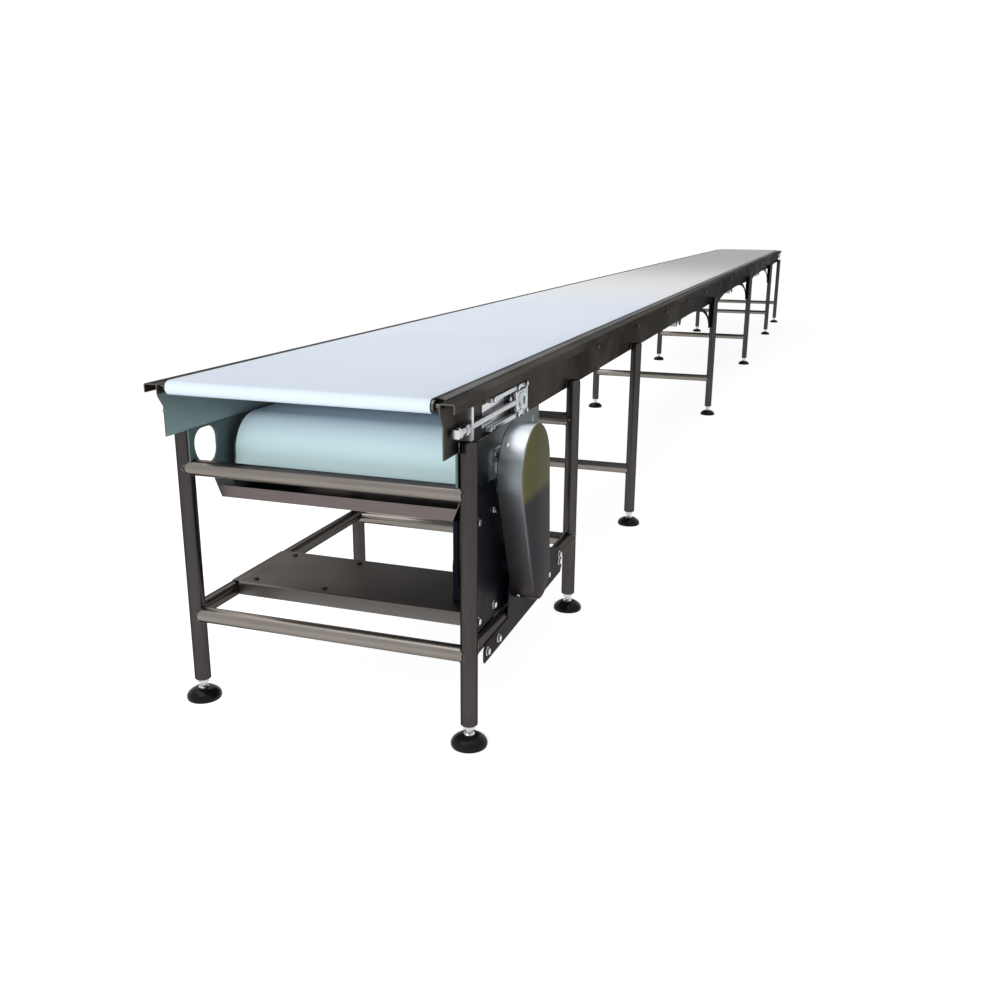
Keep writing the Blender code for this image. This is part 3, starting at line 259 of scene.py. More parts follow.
def folded(path: Outline, sheet: float, bend: float) -> Outline:
    """The section of a folded sheet.

    Args:
        path: The sheet's middle line, with a sharp corner at each fold.
        sheet: Its thickness.
        bend: The radius of the middle line at a fold.

    Returns:
        The closed outline of the section.
    """
    centre: list[tuple[Vector, Vector]] = []
    points = [Vector(point) for point in path]
    for i, point in enumerate(points):
        before = (point - points[i - 1]).normalized() if i else (points[1] - point).normalized()
        after = (points[i + 1] - point).normalized() if i + 1 < len(points) else before
        turn = before.angle_signed(after, 0.0)
        if abs(turn) < 0.01:
            centre.append((point, Vector((-before.y, before.x))))
            continue
        reach = bend * abs(sin(turn / 2) / cos(turn / 2))
        sign = -1 if turn > 0 else 1
        start = point - before * reach
        left = Vector((-before.y, before.x))
        hub = start + left * bend * sign
        for k in range(7):
            arm = Matrix.Rotation(-turn * k / 6, 2) @ (start - hub)
            centre.append((hub + arm, (arm * -sign).normalized()))
    near = [tuple(point + left * sheet / 2) for point, left in centre]
    far = [tuple(point - left * sheet / 2) for point, left in centre]
    return near + far[::-1]


# ---- Shapes --------------------------------------------------------------------------


def frame_of(axis: Vector) -> tuple[Vector, Vector, Vector]:
    """Two directions square to an axis, and the axis as a unit vector."""
    along = axis.normalized()
    spare = Z_AXIS if abs(along.z) < 0.9 else X_AXIS
    first = spare.cross(along).normalized()
    return first, along.cross(first), along


def add_loop(curve: bpy.types.Curve, points: Outline) -> None:
    """Draw a closed line in a curve's local X and Y."""
    spline = curve.splines.new("POLY")
    spline.points.add(len(points) - 1)
    for point, (across, up) in zip(spline.points, points):
        point.co = (across, up, 0, 1)
    spline.use_cyclic_u = True


class Shape:
    """Gathers the closed surfaces of one piece in the row frame and makes its object."""

    def __init__(self, name: str, body: str = "root") -> None:
        """Start an empty piece.

        Args:
            name: The piece's name.
            body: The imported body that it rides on.
        """
        self.name = name
        self.body = body
        self.work = bmesh.new()
        self.materials: list[Material] = []

    def index(self, material: Material) -> int:
        """The slot of a material, added when it's new."""
        if material not in self.materials:
            self.materials.append(material)
        return self.materials.index(material)

    def skin(self, rings: list[list[Vector]], material: Material, closed: bool = False) -> "Shape":
        """Join rings of points into a closed surface.

        Args:
            rings: Rings with the same number of points each.
            material: What it's made of.
            closed: True where the last ring meets the first; otherwise both ends are capped.

        Returns:
            The same shape.
        """
        rows = [[self.work.verts.new(point) for point in ring] for ring in rings]
        count = len(rows[0])
        pairs = list(zip(rows, rows[1:] + rows[:1])) if closed else list(zip(rows, rows[1:]))
        faces = []
        for near, far in pairs:
            faces += [
                self.work.faces.new((near[i], near[(i + 1) % count], far[(i + 1) % count], far[i]))
                for i in range(count)
            ]
        if not closed:
            faces += [self.work.faces.new(rows[0][::-1]), self.work.faces.new(rows[-1])]
        self.seal(faces, material)
        return self

    def seal(self, faces: list[bmesh.types.BMFace], material: Material) -> None:
        """Merge what meets in a new surface, turn its faces outwards and paint it."""
        slot = self.index(material)
        for face in faces:
            face.material_index = slot
        points = list(dict.fromkeys(vert for face in faces for vert in face.verts))
        bmesh.ops.remove_doubles(self.work, verts=points, dist=1e-6)
        kept = [face for face in faces if face.is_valid]
        bmesh.ops.recalc_face_normals(self.work, faces=kept)

    def turned(
        self, profile: Outline, origin: Place, axis: Vector, material: Material,
        segments: int = SMALL_SEGMENTS, ring: bool = False,
    ) -> "Shape":
        """Turn a profile round an axis.

        Args:
            profile: (radius, distance along the axis) from one end to the other.
            origin: A point on the axis.
            axis: Its direction.
            material: What it's made of.
            segments: How many flats it has round.
            ring: True where the profile closes on itself clear of the axis.

        Returns:
            The same shape.
        """
        first, second, along = frame_of(axis)
        rings = []
        for radius, reach in profile:
            hub = Vector(origin) + along * reach
            arms = (
                first * cos(tau * i / segments) + second * sin(tau * i / segments)
                for i in range(segments)
            )
            rings.append([hub + arm * radius for arm in arms])
        return self.skin(rings, material, ring)

    def box(self, low: Place, high: Place, material: Material, bevel: float = 0.0) -> "Shape":
        """A box between two corners with rounded edges."""
        low, high = Vector(low), Vector(high)
        before = set(self.work.faces)
        made = bmesh.ops.create_cube(self.work, size=1)
        bmesh.ops.scale(self.work, vec=high - low, verts=made["verts"])
        bmesh.ops.translate(self.work, vec=(low + high) / 2, verts=made["verts"])
        if bevel:
            edges = list(dict.fromkeys(edge for vert in made["verts"] for edge in vert.link_edges))
            bmesh.ops.bevel(
                self.work, geom=edges, offset=bevel, segments=3, profile=0.5, affect="EDGES",
                clamp_overlap=True,
            )
        self.seal([face for face in self.work.faces if face not in before], material)
        return self

    def prism(
        self, outline: Outline, low: float, high: float, plane: Plane, material: Material,
        holes: list[Outline] | None = None,
    ) -> "Shape":
        """Extrude a flat outline with holes.

        Args:
            outline: Its outside.
            low: Where it starts across its plane.
            high: Where it ends.
            plane: The plane it's drawn in.
            material: What it's made of.
            holes: The outlines of its openings.

        Returns:
            The same shape.
        """
        curve = bpy.data.curves.new("drawing", "CURVE")
        curve.dimensions = "2D"
        curve.fill_mode = "BOTH"
        curve.extrude = abs(high - low) / 2
        for points in [outline, *(holes or [])]:
            add_loop(curve, points)
        drawn = bpy.data.objects.new("drawing", curve)
        bpy.context.scene.collection.objects.link(drawn)
        self.add_mesh(plain_mesh(drawn), material, plane.matrix((low + high) / 2))
        bpy.data.curves.remove(curve)
        return self

    def add_mesh(self, mesh: Mesh, material: Material, place: Matrix = Matrix()) -> "Shape":
        """Take in a finished mesh and remove it."""
        before = set(self.work.faces)
        mesh.transform(place)
        self.work.from_mesh(mesh)
        bpy.data.meshes.remove(mesh)
        self.seal([face for face in self.work.faces if face not in before], material)
        return self

    def bead(
        self, path: list[Vector], radius: float, material: Material, closed: bool = True
    ) -> "Shape":
        """Lay a weld bead with its ripples along a path."""
        rings = []
        count = len(path)
        for i, point in enumerate(path):
            ahead = path[(i + 1) % count] if closed or i + 1 < count else point
            behind = path[i - 1] if closed or i else point
            first, second, _ = frame_of(ahead - behind)
            size = radius * (1 + 0.16 * sin(i * 2.1))
            rings.append([
                point + (first * cos(tau * k / 6) + second * sin(tau * k / 6)) * size
                for k in range(6)
            ])
        return self.skin(rings, material, closed)

    def bolt(
        self, seat: Place, axis: Vector, size: float, material: Material, washer: bool = True,
    ) -> "Shape":
        """A hexagon head on its washer.

        Args:
            seat: The middle of the face it's tightened on.
            axis: The way the head stands off.
            size: Half the width across the head's corners.
            material: What it's made of.
            washer: False where the head sits straight on the face.

        Returns:
            The same shape.
        """
        lift = size * 0.22 if washer else 0.0
        if washer:
            rim = size * 1.28
            profile = [(0, 0), (rim, 0), (rim, lift * 0.8), (rim - lift * 0.3, lift), (0, lift)]
            self.turned(profile, seat, axis, material, 20)
        top = lift + size * 0.68
        head = [(0, lift), (size, lift), (size, top - size * 0.12), (size * 0.86, top), (0, top)]
        return self.turned(head, seat, axis, material, 6)

    def repaint(self, material: Material, chosen: Callable[[bmesh.types.BMFace], bool]) -> "Shape":
        """Give a material to the faces that a test picks out."""
        slot = self.index(material)
        self.work.normal_update()
        for face in self.work.faces:
            if chosen(face):
                face.material_index = slot
        return self

    def finish(self, *stands_for: str, slot: str) -> Object:
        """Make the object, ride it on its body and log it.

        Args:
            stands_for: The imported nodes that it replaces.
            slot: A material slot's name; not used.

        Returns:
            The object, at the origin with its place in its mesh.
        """
        mesh = bpy.data.meshes.new(self.name)
        self.work.to_mesh(mesh)
        self.work.free()
        for material in self.materials:
            mesh.materials.append(material)
        mesh.shade_smooth()
        mesh.set_sharp_from_angle(angle=SHARP_ANGLE)
        piece = bpy.data.objects.new(self.name, mesh)
        bpy.context.scene.collection.objects.link(piece)
        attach(piece, self.body)
        if stands_for:
            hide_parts(*stands_for)
        LOG.info(
            "%s on %s, %d faces, for %s", self.name, self.body, len(mesh.polygons),
            ", ".join(stands_for) or "trim"
        )
        return piece


def plain_mesh(obj: Object) -> Mesh:
    """The evaluated mesh of a working object, which is then removed with its modifiers."""
    bpy.context.view_layer.update()
    graph = bpy.context.evaluated_depsgraph_get()
    mesh = bpy.data.meshes.new_from_object(obj.evaluated_get(graph), depsgraph=graph)
    obj.modifiers.clear()
    bpy.data.objects.remove(obj)
    return mesh


# ---- Geometry Nodes: rows, rings, chains and threads ---------------------------------


class NodeTree:
    """A small wrapper that adds nodes to a tree and links them by socket name."""

    def __init__(self, name: str, kind: str) -> None:
        """Make an empty tree of a kind: GeometryNodeTree or ShaderNodeTree."""
        self.tree = bpy.data.node_groups.new(name, kind)
        self.entry = self.tree.nodes.new("NodeGroupInput")
        self.exit = self.tree.nodes.new("NodeGroupOutput")

    def socket(self, name: str, kind: str, entering: bool = True, value: object = None) -> None:
        """Add a named input or output, with its default."""
        way = "INPUT" if entering else "OUTPUT"
        made = self.tree.interface.new_socket(name, in_out=way, socket_type=kind)
        if value is not None:
            made.default_value = value

    def node(self, kind: str, **settings: object) -> Node:
        """Add a node; a setting is one of its properties."""
        made = self.tree.nodes.new(kind)
        for name, value in settings.items():
            setattr(made, name, value)
        return made

    def link(self, *joins: tuple[Node, str | int, Node, str | int]) -> None:
        """Join nodes: each join is a node, its output, the next node and its input."""
        for source, output, target, entering in joins:
            self.tree.links.new(source.outputs[output], target.inputs[entering])


def repeat_tree(name: str) -> NodeTree:
    """A geometry tree that takes one item, a count and a material, for the repeaters to fill in."""
    tree = NodeTree(name, "GeometryNodeTree")
    tree.socket("Item", "NodeSocketGeometry")
    tree.socket("Count", "NodeSocketInt", value=2)
    tree.socket("Material", "NodeSocketMaterial")
    tree.socket("Geometry", "NodeSocketGeometry", entering=False)
    return tree


def close_tree(tree: NodeTree, last: Node) -> GeometryTree:
    """End a geometry tree in Realize Instances and Set Material."""
    real = tree.node("GeometryNodeRealizeInstances")
    painted = tree.node("GeometryNodeSetMaterial")
    tree.link(
        (last, 0, real, "Geometry"), (real, "Geometry", painted, "Geometry"),
        (tree.entry, "Material", painted, "Material"), (painted, "Geometry", tree.exit, "Geometry"),
    )
    return tree.tree


def row_tree() -> GeometryTree:
    """Copies of an item in a straight row, from its own place on."""
    tree = repeat_tree("row_of_items")
    tree.socket("Step", "NodeSocketVector", value=(0.0, 0.1, 0.0))
    line = tree.node("GeometryNodeMeshLine", mode="OFFSET")
    spread = tree.node("GeometryNodeInstanceOnPoints")
    tree.link(
        (tree.entry, "Count", line, "Count"), (tree.entry, "Step", line, "Offset"),
        (line, "Mesh", spread, "Points"), (tree.entry, "Item", spread, "Instance"),
    )
    return close_tree(tree, spread)


def ring_tree() -> GeometryTree:
    """Copies of an item round a hub: it stands in its own place and turns about Axis."""
    tree = repeat_tree("ring_of_items")
    tree.socket("Hub", "NodeSocketVector")
    tree.socket("Axis", "NodeSocketVector", value=(1.0, 0.0, 0.0))
    inward = tree.node("GeometryNodeTransform")
    flip = tree.node("ShaderNodeVectorMath", operation="SCALE")
    flip.inputs["Scale"].default_value = -1.0
    line = tree.node("GeometryNodeMeshLine", mode="OFFSET")
    line.inputs["Offset"].default_value = (0, 0, 0)
    number = tree.node("GeometryNodeInputIndex")
    part = tree.node("ShaderNodeMath", operation="DIVIDE")
    angle = tree.node("ShaderNodeMath", operation="MULTIPLY")
    angle.inputs[1].default_value = tau
    turn = tree.node("FunctionNodeAxisAngleToRotation")
    spread = tree.node("GeometryNodeInstanceOnPoints")
    outward = tree.node("GeometryNodeTransform")
    tree.link(
        (tree.entry, "Hub", flip, 0), (flip, "Vector", inward, "Translation"),
        (tree.entry, "Item", inward, "Geometry"), (tree.entry, "Count", line, "Count"),
        (number, "Index", part, 0), (tree.entry, "Count", part, 1), (part, "Value", angle, 0),
        (tree.entry, "Axis", turn, "Axis"), (angle, "Value", turn, "Angle"),
        (line, "Mesh", spread, "Points"), (inward, "Geometry", spread, "Instance"),
        (turn, "Rotation", spread, "Rotation"), (spread, "Instances", outward, "Geometry"),
        (tree.entry, "Hub", outward, "Translation"),
    )
    return close_tree(tree, outward)


def chain_tree() -> GeometryTree:
    """Outer and inner links in turn along a closed path drawn in local X and Y."""
    tree = repeat_tree("chain_of_links")
    tree.socket("Inner Link", "NodeSocketObject")
    tree.socket("Path", "NodeSocketObject")
    path = tree.node("GeometryNodeObjectInfo")
    even = tree.node("GeometryNodeResampleCurve")
    tangent = tree.node("GeometryNodeInputTangent")
    parts = tree.node("ShaderNodeSeparateXYZ")
    angle = tree.node("ShaderNodeMath", operation="ARCTAN2")
    spin = tree.node("FunctionNodeAxisAngleToRotation")
    spin.inputs["Axis"].default_value = (0, 0, 1)
    number = tree.node("GeometryNodeInputIndex")
    odd = tree.node("ShaderNodeMath", operation="MODULO")
    odd.inputs[1].default_value = 2.0
    first = tree.node("FunctionNodeCompare", data_type="FLOAT", operation="LESS_THAN")
    first.inputs["B"].default_value = 0.5
    other = tree.node("FunctionNodeBooleanMath", operation="NOT")
    inner = tree.node("GeometryNodeObjectInfo")
    both = tree.node("GeometryNodeJoinGeometry")
    tree.link(
        (tree.entry, "Path", path, "Object"), (path, "Geometry", even, "Curve"),
        (tree.entry, "Count", even, "Count"), (tangent, "Tangent", parts, "Vector"),
        (parts, "Y", angle, 0), (parts, "X", angle, 1), (angle, "Value", spin, "Angle"),
        (number, "Index", odd, 0), (odd, "Value", first, "A"), (first, "Result", other, 0),
        (tree.entry, "Inner Link", inner, "Object"),
    )
    for item, name, chosen in ((tree.entry, "Item", first), (inner, "Geometry", other)):
        spread = tree.node("GeometryNodeInstanceOnPoints")
        tree.link(
            (even, "Curve", spread, "Points"), (chosen, 0, spread, "Selection"),
            (item, name, spread, "Instance"), (spin, "Rotation", spread, "Rotation"),
            (spread, "Instances", both, "Geometry"),
        )
    return close_tree(tree, both)


def thread_tree() -> GeometryTree:
    """A screw thread round local Z, added to the shank that comes in."""
    tree = NodeTree("screw_thread", "GeometryNodeTree")
    tree.socket("Item", "NodeSocketGeometry")
    tree.socket("Material", "NodeSocketMaterial")
    tree.socket("Radius", "NodeSocketFloat", value=0.008)
    tree.socket("Turns", "NodeSocketFloat", value=10.0)
    tree.socket("Length", "NodeSocketFloat", value=0.02)
    tree.socket("Ridge", "NodeSocketFloat", value=0.0007)
    tree.socket("Geometry", "NodeSocketGeometry", entering=False)
    spiral = tree.node("GeometryNodeCurveSpiral")
    spiral.inputs["Resolution"].default_value = 14
    section = tree.node("GeometryNodeCurvePrimitiveCircle")
    section.inputs["Resolution"].default_value = 4
    swept = tree.node("GeometryNodeCurveToMesh")
    swept.inputs["Fill Caps"].default_value = True
    both = tree.node("GeometryNodeJoinGeometry")
    for name, target in (
        ("Radius", "Start Radius"), ("Radius", "End Radius"), ("Turns", "Rotations"),
        ("Length", "Height")
    ):
        tree.link((tree.entry, name, spiral, target))
    tree.link(
        (tree.entry, "Ridge", section, "Radius"), (spiral, "Curve", swept, "Curve"),
        (section, "Curve", swept, "Profile Curve"), (tree.entry, "Item", both, "Geometry"),
        (swept, "Mesh", both, "Geometry"),
    )
    return close_tree(tree, both)


class Repeaters:
    """Runs the geometry trees on one item and hands back plain meshes."""

    def __init__(self) -> None:
        """Build each tree once."""
        self.row = row_tree()
        self.ring = ring_tree()
        self.chain = chain_tree()
        self.thread = thread_tree()

    def run(
        self, tree: GeometryTree, item: "Shape", material: Material, **values: object,
    ) -> Mesh:
        """Put an item through a tree.

        Args:
            tree: The geometry tree.
            item: The shape that it repeats or adds to.
            material: The material of the result.
            values: The tree's other inputs by name, with _ for a space.

        Returns:
            The plain mesh.
        """
        mesh = bpy.data.meshes.new(item.name)
        item.work.to_mesh(mesh)
        item.work.free()
        holder = bpy.data.objects.new(item.name, mesh)
        bpy.context.scene.collection.objects.link(holder)
        modifier = holder.modifiers.new("repeat", "NODES")
        modifier.node_group = tree
        names = {s.name: s.identifier for s in tree.interface.items_tree if s.in_out == "INPUT"}
        modifier[names["Material"]] = material
        for name, value in values.items():
            modifier[names[name.replace("_", " ")]] = value
        return plain_mesh(holder)

    def add_row(
        self, shape: Shape, item: Shape, material: Material, count: int, step: Triple,
    ) -> None:
        """Add an item to a shape and repeat it in a straight row."""
        shape.add_mesh(self.run(self.row, item, material, Count=count, Step=step), material)

    def add_ring(
        self, shape: Shape, item: Shape, material: Material, count: int, hub: Vector, axis: Vector,
    ) -> None:
        """Add an item to a shape and repeat it round a hub."""
        ring = self.run(self.ring, item, material, Count=count, Hub=hub, Axis=axis)
        shape.add_mesh(ring, material)

    def threaded(
        self, core: float, reach: float, pitch: float, ridge: float, material: Material,
    ) -> Mesh:
        """A shank from the origin up local Z, with a thread on all but its tip.

        Args:
            core: Its radius under the thread.
            reach: Its length.
            pitch: The distance between two turns.
            ridge: How far the thread stands out.
            material: What it's made of.

        Returns:
            The plain mesh.
        """
        tip, bare = 0.001, 0.004
        profile = [(0, 0), (core, 0), (core, reach - tip), (core - tip, reach), (0, reach)]
        shank = Shape("shank").turned(profile, Vector(), Z_AXIS, material)
        length = reach - bare
        return self.run(
            self.thread, shank, material, Radius=core, Turns=length / pitch, Length=length,
            Ridge=ridge,
        )


# ---- Finishes ------------------------------------------------------------------------


class Grain(Enum):
    """The way a brushed surface runs: how its pattern is squeezed along X, Y and Z."""

    ALONG_X = (3.0, 90.0, 90.0)
    ALONG_Y = (90.0, 1.2, 90.0)
    ALONG_Z = (90.0, 90.0, 3.0)
    NONE = (60.0, 60.0, 60.0)


class ShaderKit:
    """The shader node groups that several finishes share."""

    def __init__(self) -> None:
        """Build each group once."""
        self.grain = self._grain()
        self.clouds = self._clouds()
        self.specks = self._specks()

    @staticmethod
    def _pattern(name: str, output: str, **values: float) -> tuple[NodeTree, Node]:
        """A group with a Vector, named values, one output and a noise on its vector."""
        tree = NodeTree(name, "ShaderNodeTree")
        tree.socket("Vector", "NodeSocketVector")
        for key, value in values.items():
            tree.socket(key, "NodeSocketFloat", value=value)
        tree.socket(output, "NodeSocketFloat", entering=False)
        noise = tree.node("ShaderNodeTexNoise")
        return tree, noise

    def _grain(self) -> ShaderTree:
        """Fine lines drawn out along one way, broken up so that they don't repeat."""
        tree, noise = self._pattern("brushed_grain", "Line")
        tree.socket("Stretch", "NodeSocketVector", value=(90.0, 1.2, 90.0))
        noise.inputs["Scale"].default_value = 6.0
        noise.inputs["Detail"].default_value = 5.0
        noise.inputs["Roughness"].default_value = 0.62
        stretched = tree.node("ShaderNodeVectorMath", operation="MULTIPLY")
        tree.link(
            (tree.entry, "Vector", stretched, 0), (tree.entry, "Stretch", stretched, 1),
            (stretched, "Vector", noise, "Vector"), (noise, "Fac", tree.exit, "Line"),
        )
        return tree.tree

    def _clouds(self) -> ShaderTree:
        """Soft patches, such as handling marks or a change of tone."""
        tree, noise = self._pattern("soft_clouds", "Mask", Scale=4.0, Low=0.38, High=0.66)
        noise.inputs["Detail"].default_value = 4.0
        noise.inputs["Distortion"].default_value = 0.6
        ramp = tree.node("ShaderNodeMapRange", interpolation_type="SMOOTHSTEP")
        tree.link(
            (tree.entry, "Vector", noise, "Vector"), (tree.entry, "Scale", noise, "Scale"),
            (noise, "Fac", ramp, "Value"), (tree.entry, "Low", ramp, "From Min"),
            (tree.entry, "High", ramp, "From Max"), (ramp, "Result", tree.exit, "Mask"),
        )
        return tree.tree

    def _specks(self) -> ShaderTree:
        """Sparse small marks, such as dust, pits or scuffs."""
        tree, noise = self._pattern("sparse_specks", "Mask", Scale=160.0, Cover=0.66)
        noise.inputs["Detail"].default_value = 2.0
        ramp = tree.node("ShaderNodeMapRange")
        ramp.inputs["From Max"].default_value = 0.80
        tree.link(
            (tree.entry, "Vector", noise, "Vector"), (tree.entry, "Scale", noise, "Scale"),
            (noise, "Fac", ramp, "Value"), (tree.entry, "Cover", ramp, "From Min"),
            (ramp, "Result", tree.exit, "Mask"),
        )
        return tree.tree


class Canvas:
    """A material being put together: its shader, coordinates and node shorthands."""

    def __init__(self, name: str) -> None:
        """Make the material and find its Principled shader."""
        self.material = bpy.data.materials.new(name)
        self.material.use_nodes = True
        self.nodes = self.material.node_tree.nodes
        self.links = self.material.node_tree.links
        self.shader = self.nodes["Principled BSDF"]
        self.place = self.nodes.new("ShaderNodeTexCoord").outputs["Object"]

    def add(self, kind: str, **settings: object) -> Node:
        """Add a node; a setting is one of its properties."""
        node = self.nodes.new(kind)
        for name, value in settings.items():
            setattr(node, name, value)
        return node

    def group(self, tree: ShaderTree, **values: object) -> Socket:
        """Place a shared group on the object's coordinates and return its output."""
        node = self.add("ShaderNodeGroup", node_tree=tree)
        self.links.new(self.place, node.inputs["Vector"])
        for name, value in values.items():
            node.inputs[name].default_value = value
        return node.outputs[0]

    def mix(self, mask: Socket, first: object, second: object) -> Socket:
        """Mix two colours, each a value or a socket, by a mask."""
        node = self.add("ShaderNodeMix", data_type="RGBA")
        self.links.new(mask, node.inputs[0])
        for socket, value in ((node.inputs[6], first), (node.inputs[7], second)):
            if isinstance(value, Socket):
                self.links.new(value, socket)
            else:
                socket.default_value = (*value, 1)
        return node.outputs[2]

    def scale(self, value: Socket, low: float, high: float) -> Socket:
        """Spread a 0 to 1 value between two others."""
        node = self.add("ShaderNodeMapRange")
        self.links.new(value, node.inputs["Value"])
        node.inputs["To Min"].default_value = low
        node.inputs["To Max"].default_value = high
        return node.outputs["Result"]

    def ramp_along(self, axis: str, start: float, end: float) -> Socket:
        """A smooth 0 to 1 along one of the object's axes."""
        parts = self.add("ShaderNodeSeparateXYZ")
        self.links.new(self.place, parts.inputs["Vector"])
        node = self.add("ShaderNodeMapRange", interpolation_type="SMOOTHSTEP")
        self.links.new(parts.outputs[axis], node.inputs["Value"])
        node.inputs["From Min"].default_value = start
        node.inputs["From Max"].default_value = end
        return node.outputs["Result"]

    def times(self, *values: Socket) -> Socket:
        """The product of masks."""
        product = values[0]
        for value in values[1:]:
            node = self.add("ShaderNodeMath", operation="MULTIPLY")
            self.links.new(product, node.inputs[0])
            self.links.new(value, node.inputs[1])
            product = node.outputs["Value"]
        return product

    def relief(self, height: Socket, strength: float, distance: float) -> None:
        """Raise the surface by a pattern."""
        node = self.add("ShaderNodeBump")
        node.inputs["Strength"].default_value = strength
        node.inputs["Distance"].default_value = distance
        self.links.new(height, node.inputs["Height"])
        self.links.new(node.outputs["Normal"], self.shader.inputs["Normal"])

    def done(self, colour: Socket, roughness: Socket, **fixed: object) -> Material:
        """Link the colour and roughness, set the shader's own values and return the material."""
        self.links.new(colour, self.shader.inputs["Base Color"])
        self.links.new(roughness, self.shader.inputs["Roughness"])
        for name, value in fixed.items():
            self.shader.inputs[name.replace("_", " ")].default_value = value
        return self.material


@dataclass(frozen=True)
class Brushed:
    """Metal with a drawn or brushed grain and handling marks."""

    name: str
    light: Colour
    dark: Colour
    grain: Grain
    roughness: tuple[float, float] = (0.26, 0.42)
    metallic: float = 1.0
    depth: float = 0.00012
    edge: float = 0.35
    # far and fade give a painted shade: the colour the metal darkens to along Y, and where that
    # runs.
    far: Colour | None = None
    fade: tuple[float, float] = (2.6, 5.4)

    def material(self, kit: ShaderKit) -> Material:
        """Build the finish."""
        canvas = Canvas(self.name)
        line = canvas.group(kit.grain, Stretch=self.grain.value)
        cloud = canvas.group(kit.clouds, Scale=3.2)
        speck = canvas.group(kit.specks, Scale=210.0, Cover=0.69)
        tone = canvas.mix(line, self.dark, self.light)
        worn = canvas.mix(canvas.scale(cloud, 0.0, 0.45), tone, self.light)
        pitted = canvas.mix(canvas.scale(speck, 0.0, 0.6), worn, self.dark)
        # Painted shade: darker towards the far end of the conveyor.
        if self.far:
            start, end = (LAYOUT.nose_y + y for y in self.fade)
            pitted = canvas.mix(canvas.ramp_along("Y", start, end), pitted, self.far)
        canvas.relief(line, 0.35, self.depth)
        rough = canvas.scale(canvas.mix(cloud, (0.2, 0.2, 0.2), (0.8, 0.8, 0.8)), *self.roughness)
        return canvas.done(
            pitted, rough, Metallic=self.metallic,
            Specular_Tint=(self.edge, self.edge, self.edge, 1)
        )


@dataclass(frozen=True)
class Painted:
    """Enamel or powder coat with orange peel, dust and rubbed patches."""

    name: str
    colour: Colour
    rubbed: Colour
    roughness: tuple[float, float] = (0.28, 0.46)
    metallic: float = 0.0
    coat: float = 0.05
    gloss: float = 0.25
    peel: float = 420.0

    def material(self, kit: ShaderKit) -> Material:
        """Build the finish."""
        canvas = Canvas(self.name)
        cloud = canvas.group(kit.clouds, Scale=7.0)
        peel = canvas.group(kit.clouds, Scale=self.peel, Low=0.3, High=0.7)
        speck = canvas.group(kit.specks, Scale=150.0, Cover=0.70)
        base = canvas.mix(canvas.scale(cloud, 0.0, 0.5), self.colour, self.rubbed)
        dusty = canvas.mix(canvas.scale(speck, 0.0, 0.35), base, self.rubbed)
        canvas.relief(peel, 0.25, 0.00025)
        rough = canvas.scale(cloud, *self.roughness)
        return canvas.done(
            dusty, rough, Metallic=self.metallic, Coat_Weight=self.coat,
            Specular_IOR_Level=self.gloss,
        )


@dataclass(frozen=True)
class BeltFinish:
    """The smooth pale face of a coated belt, or the woven plies that show at its cut edge.

    A fade is where one tone goes over into the next. From the nose along the belt it turns
    neutral, then darker grey towards the tail: painted shade for the light falling off along the
    row. Down from its top run to its return run it turns a brighter mint: painted light and a
    painted reflection on the belt round the drum.
    """

    name: str
    colour: Colour
    worn: Colour
    plies: bool = False
    middle: Colour = (0.700, 0.715, 0.730)
    middle_fade: tuple[float, float] = (1.9, 3.1)
    # end is a painted shade for the tail end of the belt.
    end: Colour = (0.480, 0.488, 0.500)
    end_fade: tuple[float, float] = (2.8, 6.5)
    # under is painted light and a painted reflection: a brighter mint on the belt round the drum.
    under: Colour = (0.640, 0.845, 0.860)
    under_fade: tuple[float, float] = (0.700, 0.600)

    def material(self, kit: ShaderKit) -> Material:
        """Build the finish."""
        canvas = Canvas(self.name)
        cloud = canvas.group(kit.clouds, Scale=1.6)
        track = canvas.group(kit.grain, Stretch=(22.0, 0.25, 22.0))
        fine = canvas.group(kit.clouds, Scale=900.0, Low=0.35, High=0.65)
        base = canvas.mix(canvas.scale(cloud, 0.0, 0.35), self.colour, self.worn)
        marked = canvas.mix(canvas.scale(track, 0.0, 0.25), base, self.worn)
        if not self.plies:
            # Painted shade: the top run turns neutral along the belt, then darker grey towards the
            # tail.
            for (start, end), tone in ((self.middle_fade, self.middle), (self.end_fade, self.end)):
                along = canvas.ramp_along("Y", LAYOUT.nose_y + start, LAYOUT.nose_y + end)
                marked = canvas.mix(along, marked, tone)
            # Painted light and a painted reflection: brighter mint on the belt below its top run.
            marked = canvas.mix(canvas.ramp_along("Z", *self.under_fade), marked, self.under)
        weave = canvas.add("ShaderNodeTexWave", bands_direction="DIAGONAL")
        weave.inputs["Scale"].default_value = 260.0
        canvas.links.new(canvas.place, weave.inputs["Vector"])
        if self.plies:
            marked = canvas.mix(weave.outputs["Fac"], marked, self.worn)
        canvas.relief(
            weave.outputs["Fac"] if self.plies else fine, 0.30 if self.plies else 0.12, 0.0002
        )
        rough = canvas.scale(track, 0.30, 0.40)
        return canvas.done(marked, rough, Metallic=0.0, Specular_IOR_Level=0.12)


